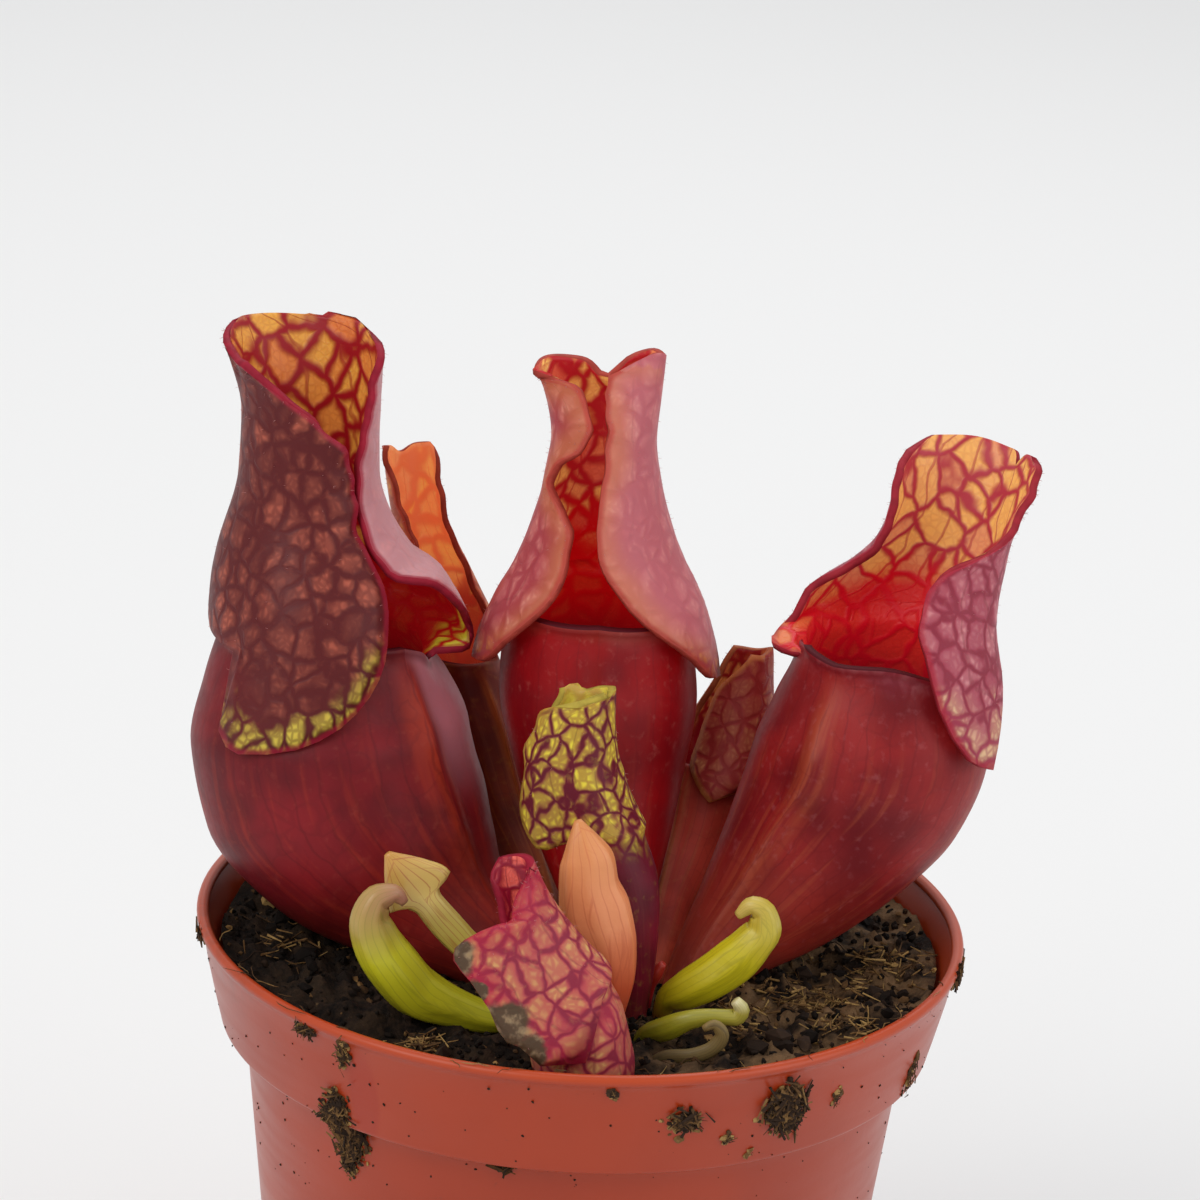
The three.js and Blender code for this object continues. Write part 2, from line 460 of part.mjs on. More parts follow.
// A pitcher's tube is cut hollow from the lip down. Its hood is a sheet of the blade's
// thickness: each of the sheet's triangles is drawn through it, and the pieces are joined.
function pitcherSolid(pitcher) {
  const sheet = pitcherSheet(pitcher);
  const rows = pitcherRows(pitcher);
  const [front, hood] = pitcher.columns;
  const tube = rows.tube.map((height) => tubeAngles(pitcher, sheet, height)
    .map((angle) => sheet.point(height, angle)));
  const start = rows.tube[0] + CAVITY_START * (pitcher.lip - rows.tube[0]);
  const hollow = rows.tube.filter((height) => height > start).map((height) =>
    tubeAngles(pitcher, sheet, height).map((angle) => sheet.point(height, angle, -BLADE)));
  const mouth = hollow[hollow.length - 1];
  hollow.push(mouth.map((point) => point.clone().setZ(point.z + 2)));
  let body = solid(closedTube(tube)).subtract(solid(closedTube(hollow)));
  const root = tubeAngles(pitcher, sheet, pitcher.lip).slice(front, front + hood + 1);
  const points = [
    ...root.map((angle) => sheet.point(pitcher.lip - HOOD_ROOT, angle, -0.25 * BLADE)),
    ...root.map((angle) => sheet.point(pitcher.lip, angle)),
  ];
  for (const height of rows.hood) {
    points.push(...hoodAngles(pitcher, sheet, height).map((angle) => sheet.point(height, angle)));
  }
  const faces = [];
  for (let r = 0; r <= rows.hood.length; r++) {
    for (let c = 0; c < hood; c++) {
      const [low, high] = [r * (hood + 1) + c, (r + 1) * (hood + 1) + c];
      faces.push(...square(low, high, high + 1, low + 1));
    }
  }
  const skin = meshFrom(points, faces);
  skin.computeVertexNormals();
  const normals = skin.getAttribute('normal');
  const behind = points.map((point, i) => (i <= hood
    ? sheet.point(pitcher.lip - HOOD_ROOT, root[i], -0.7 * BLADE)
    : point.clone().addScaledVector(new THREE.Vector3().fromBufferAttribute(normals, i), -BLADE)));
  const pieces = faces.map((face) => wasm.Manifold.hull(
    face.flatMap((i) => [points[i].toArray(), behind[i].toArray()])));
  body = wasm.Manifold.union([body, ...pieces]);
  return largest(body.simplify(0.02));
}

// The tube alone, grown and closed: what a pitcher takes out of the soil.
function pitcherPlug(pitcher, grow) {
  const sheet = pitcherSheet(pitcher);
  const rings = pitcherRows(pitcher).tube.map((height) => tubeAngles(pitcher, sheet, height)
    .map((angle) => sheet.point(height, angle, grow)));
  rings.unshift(rings[0].map((point) => point.clone().setZ(point.z - grow)));
  return closedTube(rings);
}

// A leaf that is still closed: rings square to a line, tapering to a tip.
function closedLeafGeometry(leaf, grow = 0, sides = 8) {
  const nodes = leaf.line.map(([x, y, z]) => new THREE.Vector3(x, y, z));
  const knots = [0];
  for (let i = 1; i < nodes.length; i++) {
    knots.push(knots[i - 1] + Math.max(nodes[i].distanceTo(nodes[i - 1]), 0.8));
  }
  const read = readTable(leaf.line.map((row, i) => [knots[i], ...row]));
  const facing = radians(leaf.front);
  const level = new THREE.Vector3(Math.cos(facing), Math.sin(facing), 0);
  const rows = [];
  for (let i = 0; i < knots.length - 1; i++) {
    const parts = knots[i + 1] - knots[i] > 3 ? 2 : 1;
    for (let part = 0; part < parts; part++) {
      rows.push(knots[i] + (knots[i + 1] - knots[i]) * part / parts);
    }
  }
  rows.push(knots[knots.length - 1]);
  if (grow > 0) rows.unshift(0);
  const rings = rows.map((row, r) => {
    const [x, y, z, width, depth] = read(row);
    const ahead = new THREE.Vector3(...read(row + 0.4).slice(0, 3));
    const behind = new THREE.Vector3(...read(row - 0.4).slice(0, 3));
    const along = row === 0 ? new THREE.Vector3(0, 0, 1) : ahead.sub(behind).normalize();
    const forward = level.clone().addScaledVector(along, -level.dot(along)).normalize();
    const sideways = along.clone().cross(forward);
    const middle = new THREE.Vector3(x, y, r === 0 ? z - grow : z);
    return Array.from({ length: sides }, (_, c) => {
      const around = 2 * Math.PI * c / sides;
      return middle.clone().addScaledVector(forward, -Math.cos(around) * (depth + grow))
        .addScaledVector(sideways, Math.sin(around) * (width + grow));
    });
  });
  return closedTube(rings);
}

// ---- turned bodies -----------------------------------------------------------------------
// A profile of [radius, height] turned round the Z axis; it starts and ends on the axis.
function turned(profile, sides, height = (x, y, z) => z) {
  const points = [];
  const faces = [];
  const rings = profile.map(([radius, z]) => {
    const start = points.length;
    const count = radius === 0 ? 1 : sides;
    for (let c = 0; c < count; c++) {
      const around = 2 * Math.PI * c / sides;
      const x = radius * Math.cos(around);
      const y = radius * Math.sin(around);
      points.push(new THREE.Vector3(x, y, height(x, y, z)));
    }
    return { start, count };
  });
  for (let r = 1; r < rings.length; r++) {
    const [low, high] = [rings[r - 1], rings[r]];
    for (let c = 0; c < sides; c++) {
      const next = (c + 1) % sides;
      const at = (ring, i) => ring.start + (ring.count === 1 ? 0 : i);
      if (low.count > 1) faces.push([at(low, c), at(low, next), at(high, c)]);
      if (high.count > 1) faces.push([at(low, next), at(high, next), at(high, c)]);
    }
  }
  return meshFrom(points, faces);
}

const solid = (geometry) => {
  const mesh = new wasm.Mesh({
    numProp: 3,
    vertProperties: new Float32Array(geometry.getAttribute('position').array),
    triVerts: new Uint32Array(geometry.index.array),
  });
  mesh.merge();
  return new wasm.Manifold(mesh);
};

const geometryOf = (manifold) => {
  const mesh = manifold.getMesh();
  const geometry = new THREE.BufferGeometry();
  geometry.setAttribute('position', new THREE.Float32BufferAttribute(mesh.vertProperties, 3));
  geometry.setIndex(Array.from(mesh.triVerts));
  return geometry;
};

// What is left of a solid is its largest piece.
const largest = (manifold) => manifold.decompose().sort((a, b) => b.volume() - a.volume())[0];

// ---- pot ---------------------------------------------------------------------------------
const floorTop = FLOOR_LIFT + FLOOR_THICKNESS;
const collarFoot = POT_HEIGHT - COLLAR_HEIGHT;
const bodyRadius = (z) => BODY_FOOT_RADIUS + (BODY_TOP_RADIUS - BODY_FOOT_RADIUS) * z / collarFoot;
const collarRadius = (z) =>
  COLLAR_FOOT_RADIUS + (RIM_RADIUS - COLLAR_FOOT_RADIUS) * (z - collarFoot) / COLLAR_HEIGHT;

function potGeometry() {
  const bead = Array.from({ length: 6 }, (_, i) => {
    const around = radians(-60 + 300 * i / 5);
    return [RIM_RADIUS - BEAD_RADIUS + BEAD_RADIUS * Math.cos(around),
      POT_HEIGHT - BEAD_RADIUS + BEAD_RADIUS * Math.sin(around)];
  });
  const footInside = BODY_FOOT_RADIUS - FOOT_RING_WIDTH;
  const body = turned([
    [0, 0], [CENTRE_PAD_RADIUS, 0], [CENTRE_PAD_RADIUS + 0.6, FLOOR_LIFT],
    [footInside - 0.6, FLOOR_LIFT], [footInside, 0], [BODY_FOOT_RADIUS - 0.8, 0],
    [BODY_FOOT_RADIUS, 0.8], [bodyRadius(collarFoot * 0.5), collarFoot * 0.5],
    [bodyRadius(collarFoot - 1.2), collarFoot - 1.2], [BODY_TOP_RADIUS + 0.4, collarFoot - 0.3],
    [COLLAR_FOOT_RADIUS - 0.6, collarFoot], [COLLAR_FOOT_RADIUS, collarFoot + 0.6],
    [collarRadius(POT_HEIGHT - 2) - 0.25, POT_HEIGHT - 2],
    ...bead,
    [collarRadius(POT_HEIGHT - 3) - WALL - 0.25, POT_HEIGHT - 3],
    [COLLAR_FOOT_RADIUS - WALL, collarFoot + WALL + 0.6],
    [COLLAR_FOOT_RADIUS - WALL - 0.6, collarFoot + WALL],
    [BODY_TOP_RADIUS - WALL, collarFoot + WALL - 0.4],
    [bodyRadius(floorTop + 1) - WALL, floorTop + 1],
    [bodyRadius(floorTop) - WALL - 1, floorTop], [0, floorTop],
  ], POT_SIDES);
  let pot = solid(body);
  const drain = wasm.Manifold.cylinder(floorTop + 2, DRAIN_RADIUS, DRAIN_RADIUS, 10)
    .translate([DRAIN_RING_RADIUS, 0, -1]);
  for (let i = 0; i < DRAIN_HOLES; i++) {
    pot = pot.subtract(drain.rotate([0, 0, 360 * (i + 0.5) / DRAIN_HOLES]));
  }
  return geometryOf(pot);
}

// ---- soil and rootstock ------------------------------------------------------------------
// A repeatable rough number from 0 to 1 for a place on the soil.
const rough = (x, y) => {
  const wave = Math.sin(x * 12.9898 + y * 78.233) * 43758.5453;
  return wave - Math.floor(wave);
};

function soilGeometry() {
  const top = [];
  const edge = collarRadius(SOIL_LEVEL) - WALL - 0.25 - SOIL_GAP;
  for (let r = SOIL_RINGS; r > 0; r--) top.push([edge * r / SOIL_RINGS, SOIL_LEVEL]);
  const clods = (x, y, z) => {
    if (z !== SOIL_LEVEL) return z;
    const out = Math.hypot(x, y) / edge;
    return z + 0.6 * out * out + CLOD_HEIGHT * (rough(Math.round(x), Math.round(y)) - 0.5);
  };
  return turned([
    [0, floorTop + SOIL_GAP],
    [bodyRadius(floorTop) - WALL - 1 - SOIL_GAP, floorTop + SOIL_GAP],
    [bodyRadius(floorTop + 1) - WALL - SOIL_GAP, floorTop + 1 + SOIL_GAP],
    [BODY_TOP_RADIUS - WALL - SOIL_GAP, collarFoot + WALL - 0.4],
    [COLLAR_FOOT_RADIUS - WALL - 0.6 - SOIL_GAP, collarFoot + WALL + SOIL_GAP],
    [COLLAR_FOOT_RADIUS - WALL - SOIL_GAP, collarFoot + WALL + 0.6 + SOIL_GAP],
    ...top, [0, SOIL_LEVEL - 0.2],
  ], SOIL_SIDES, clods);
}

function rootstockGeometry(grow = 0) {
  const [x, y, top] = CROWN;
  return turned([
    [0, top - CROWN_LENGTH - grow], [3 + grow, top - CROWN_LENGTH + 2],
    [CROWN_RADIUS * 0.7 + grow, top - CROWN_LENGTH * 0.55],
    [CROWN_RADIUS + grow, top - CROWN_LENGTH * 0.25], [CROWN_RADIUS + grow, top - 1.5],
    [CROWN_RADIUS - 0.8 + grow, top + grow], [0, top + grow],
  ], 20).translate(x, y, 0);
}

// ---- assembly ----------------------------------------------------------------------------
const group = new THREE.Group();
group.name = 'potted_pitcher_plant';
const add = (name, geometry, colour) => {
  const body = geometry.index ? geometry.toNonIndexed() : geometry;
  const mesh = new THREE.Mesh(body, new THREE.MeshStandardMaterial({ color: colour, roughness: 0.7 }));
  mesh.name = name;
  group.add(mesh);
};

add('pot', potGeometry(), COLOURS.pot);

let soil = solid(soilGeometry()).subtract(solid(rootstockGeometry(SOIL_GAP)));
for (const pitcher of Object.values(PITCHERS)) soil = soil.subtract(solid(pitcherPlug(pitcher, HOLE_GAP)));
for (const leaf of Object.values(CLOSED_LEAVES)) {
  soil = soil.subtract(solid(closedLeafGeometry(leaf, HOLE_GAP)));
}
add('soil', geometryOf(largest(soil.simplify(0.06))), COLOURS.soil);
add('rootstock', rootstockGeometry(), COLOURS.rootstock);

for (const [name, pitcher] of Object.entries(PITCHERS)) {
  add(name, geometryOf(pitcherSolid(pitcher)), pitcher.colour);
}
for (const [name, leaf] of Object.entries(CLOSED_LEAVES)) {
  add(name, closedLeafGeometry(leaf), leaf.colour);
}

export default group;
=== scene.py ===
# %% [markdown]
# # A potted pitcher plant
# The plant is a young purple pitcher plant in a plastic nursery pot. Its leaves are hollow
# tubes with a hood, netted with dark veins. The CAD model gives every leaf's place and size,
# and this file dresses each of them: it makes a finer skin in the same form, gives it the
# thickness of a leaf, and paints it with node-based materials.

# %% The frame
import math
import random

import bmesh
import bpy
from mathutils import Matrix, Vector, noise
from mathutils.kdtree import KDTree


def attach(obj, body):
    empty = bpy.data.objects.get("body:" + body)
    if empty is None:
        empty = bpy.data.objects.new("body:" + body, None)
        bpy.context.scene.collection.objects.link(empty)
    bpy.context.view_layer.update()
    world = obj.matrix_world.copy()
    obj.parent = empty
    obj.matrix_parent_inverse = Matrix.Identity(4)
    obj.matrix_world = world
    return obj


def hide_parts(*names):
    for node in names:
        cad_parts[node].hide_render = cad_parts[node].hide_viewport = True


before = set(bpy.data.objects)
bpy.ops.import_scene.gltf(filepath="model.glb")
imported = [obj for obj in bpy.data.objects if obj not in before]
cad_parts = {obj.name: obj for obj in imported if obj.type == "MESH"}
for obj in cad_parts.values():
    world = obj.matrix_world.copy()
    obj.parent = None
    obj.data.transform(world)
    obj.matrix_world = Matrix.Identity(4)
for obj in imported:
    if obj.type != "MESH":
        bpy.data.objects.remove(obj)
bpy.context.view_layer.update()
MM = 0.001
rng = random.Random(11)

# %% [markdown]
# ## The camera
# The photograph looks down at the pot by about 19 degrees, from nearly half a metre away, and
# it was held a little turned. The rim of the pot is an ellipse in it, and the ratio of that
# ellipse's axes gives the tilt. The camera is set first, so that every later piece can be
# judged in the same picture.

# %% The camera
PICTURE = 1200
FOCAL_PIXELS = 4083.0
RIM_PIXEL = (581.3, 910.1)
DISTANCE = 480.0
LOOK_DOWN = math.radians(19.02)
ROLL = math.radians(3.49)
RIM_HEIGHT = 78.0
SENSOR = 36
FARTHEST = 20

right = Vector((1, 0, 0))
up = Vector((0, math.sin(LOOK_DOWN), math.cos(LOOK_DOWN)))
back = Vector((0, -math.cos(LOOK_DOWN), math.sin(LOOK_DOWN)))
camera_x = right * math.cos(ROLL) + up * math.sin(ROLL)
camera_y = up * math.cos(ROLL) - right * math.sin(ROLL)
aside = (RIM_PIXEL[0] - PICTURE / 2) / FOCAL_PIXELS * DISTANCE
below = (RIM_PIXEL[1] - PICTURE / 2) / FOCAL_PIXELS * DISTANCE
eye = Vector((0, 0, RIM_HEIGHT)) - camera_x * aside + camera_y * below + back * DISTANCE


def placed(name, data):
    """A new object of the scene, at the origin and unturned."""
    made = bpy.data.objects.new(name, data)
    bpy.context.scene.collection.objects.link(made)
    return made


camera_data = bpy.data.cameras.new("camera")
camera_data.sensor_width = SENSOR
camera_data.lens = SENSOR * FOCAL_PIXELS / PICTURE
camera_data.clip_end = FARTHEST
camera = placed("camera", camera_data)
camera.matrix_world = Matrix.Translation(eye * MM) @ Matrix(
    (camera_x, camera_y, back)).transposed().to_4x4()
bpy.context.scene.camera = camera
print("the camera stands at", [round(n, 1) for n in eye], "mm")

# %% [markdown]
# ## Light and floor
# The plant stands in a bright white room: the light is soft and comes from all sides, a bit
# stronger from the upper left, and the floor is as pale as the wall. A large plain plane and a
# light grey world give that. Three big area lights add the soft shine on the pot and leaves,
# and a fourth brightens the floor behind the pot.

# %% Light and floor
FLOOR_REACH = 6
bpy.context.scene.view_settings.view_transform = "Standard"
world = bpy.data.worlds.new("white_room")
world.use_nodes = True
background = world.node_tree.nodes["Background"]
background.inputs["Color"].default_value = (0.93, 0.935, 0.94, 1)
background.inputs["Strength"].default_value = 0.66
bpy.context.scene.world = world


def mesh_data(name, mesh):
    """Keeps what was built as mesh data, and frees the builder's copy."""
    data = bpy.data.meshes.new(name)
    mesh.to_mesh(data)
    mesh.free()
    return data


def area_light(name, place, target, width, watts, colour=(1, 1, 1)):
    """A soft square light, with its place, target and width in metres."""
    data = bpy.data.lights.new(name, "AREA")
    data.shape = "SQUARE"
    data.size = width
    data.energy = watts
    data.color = colour
    light = placed(name, data)
    light.location = place
    light.rotation_euler = (Vector(target) - Vector(place)).to_track_quat("-Z", "Y").to_euler()


area_light("window", (-0.55, -0.55, 0.75), (0, 0, 0.09), 0.6, 3.6, (1.0, 0.985, 0.96))
area_light("wall_glow", (0.7, -0.35, 0.4), (0, 0, 0.09), 0.6, 1.6, (0.97, 0.98, 1.0))
area_light("sky", (0.1, 0.5, 0.9), (0, 0, 0.1), 0.8, 2.4)
area_light("far_floor", (0, 1.15, 0.8), (0, 1.15, 0), 1.0, 1.5)

floor_mesh = bmesh.new()
bmesh.ops.create_grid(floor_mesh, x_segments=1, y_segments=1, size=FLOOR_REACH)
floor_data = mesh_data("floor", floor_mesh)
floor = placed("floor", floor_data)

# %% [markdown]
# ## Writing materials as maths
# A leaf's pattern is a sum of small formulas: a net of veins, a painted sheen, a darker base.
# Blender stores each as nodes, but a formula is easier to read. So one small class stands for a
# node's output and adds the Math nodes when it is added, multiplied or compared.

# %% A class for shader maths
class Value:
    """One output of a node, which can be used in a formula."""

    def __init__(self, finish, socket):
        self.finish = finish
        self.socket = socket

    def maths(self, operation, *terms, clamp=False):
        return self.finish.node("ShaderNodeMath", {"operation": operation, "use_clamp": clamp},
                                dict(enumerate(terms)))

    def __add__(self, other):
        return self.maths("ADD", self, other)

    def __sub__(self, other):
        return self.maths("SUBTRACT", self, other)

    def __rsub__(self, other):
        return self.maths("SUBTRACT", other, self)

    def __mul__(self, other):
        return self.maths("MULTIPLY", self, other)

    def __truediv__(self, other):
        return self.maths("DIVIDE", self, other)

    __radd__ = __add__
    __rmul__ = __mul__

    def size(self):
        return self.maths("ABSOLUTE", self)

    def sine(self):
        return self.maths("SINE", self)

    def cosine(self):
        return self.maths("COSINE", self)

    def limit(self):
        return self.maths("ADD", self, 0.0, clamp=True)

    def greatest(self, other):
        return self.maths("MAXIMUM", self, other)

    def rise(self, low, high):
        """0 below low, 1 above high and a smooth step between them; high may be the lower."""
        settings = {"interpolation_type": "SMOOTHSTEP", "clamp": True}
        return self.finish.node("ShaderNodeMapRange", settings, {
            "Value": self, "From Min": low, "From Max": high, "To Min": 0.0, "To Max": 1.0})


class Finish:
    """A material whose nodes are added one by one."""

    def __init__(self, name):
        self.material = bpy.data.materials.new(name)
        self.material.use_nodes = True
        self.tree = self.material.node_tree
        self.shader = self.tree.nodes["Principled BSDF"]

    def node(self, kind, settings=None, inputs=None, output=0):
        """Adds a node; stops are a colour ramp's."""
        made = self.tree.nodes.new(kind)
        for key, setting in (settings or {}).items():
            if key == "stops":
                ramp = made.color_ramp
                while len(ramp.elements) < len(setting):
                    ramp.elements.new(0.5)
                for element, (place, colour) in zip(ramp.elements, setting):
                    element.position = place
                    element.color = colour
            else:
                setattr(made, key, setting)
        for key, value in (inputs or {}).items():
            self.feed(made.inputs[key], value)
        return Value(self, made.outputs[output])

    def feed(self, socket, value):
        if isinstance(value, Value):
            self.tree.links.new(value.socket, socket)
        else:
            socket.default_value = value

    def set(self, **inputs):
        """Feeds the shader; base_color stands for its input Base Color."""
        for key, value in inputs.items():
            name = key.replace("_", " ").title().replace("Ior", "IOR")
            self.feed(self.shader.inputs[name], value)

    def attribute(self, name):
        return self.node("ShaderNodeAttribute", {"attribute_name": name}, output=2)

    def mix(self, share, first, second):
        return self.node("ShaderNodeMix", {"data_type": "RGBA"}, {0: share, 6: first, 7: second},
                         output=2)

    def place(self):
        return self.node("ShaderNodeTexCoord", output=3)

    def noise(self, vector, scale, detail=2.0, roughness=0.5, output=0):
        """Output 0 is a value and output 1 a colour."""
        return self.node("ShaderNodeTexNoise", {}, {
            "Vector": vector, "Scale": scale, "Detail": detail, "Roughness": roughness}, output)

    def part(self, vector, axis):
        """One of a vector's three parts."""
        return self.node("ShaderNodeSeparateXYZ", {}, {0: vector}, axis)

    def mapping(self, vector, scale, shift=0.0):
        return self.node("ShaderNodeMapping", {}, {
            "Vector": vector, "Location": (shift, shift, shift), "Scale": scale})

    def ramp(self, stops, place):
        """Painters' colours along a value from 0 to 1."""
        return self.node("ShaderNodeValToRGB", {"stops": [(s, paint(c)) for s, c in stops]},
                         {0: place})

    def bump(self, height, distance, strength):
        return self.node("ShaderNodeBump", {}, {
            "Height": height, "Distance": distance, "Strength": strength})


def paint(code):
    """A colour written as a painter's hex code, turned into the light values a shader uses."""
    channels = [int(code[i:i + 2], 16) / 255 for i in (0, 2, 4)]
    return tuple(c / 12.92 if c <= 0.04045 else ((c + 0.055) / 1.055) ** 2.4
                 for c in channels) + (1.0,)


floor_finish = Finish("pale_floor")
floor_finish.set(base_color=paint("eeeeee"), roughness=0.9, specular_ior_level=0.1)
floor_data.materials.append(floor_finish.material)
print("the stage is ready")

# %% [markdown]
# ## How a pitcher is described
# A pitcher is a leaf whose blade has grown into a tube. Low down it is a closed ring all the
# way round, and above the mouth only the back part of the ring goes on, as the hood. So it is
# described by rings: each has a height, a middle, a half width, a depth behind and in front,
# a tilt and a turn. Above the mouth two more lists say how far round each side of the hood
# reaches, how far its free edge flares out and how far it droops. These are the CAD model's
# own numbers, so the finer skin keeps the CAD form. All of them are in millimetres and degrees.

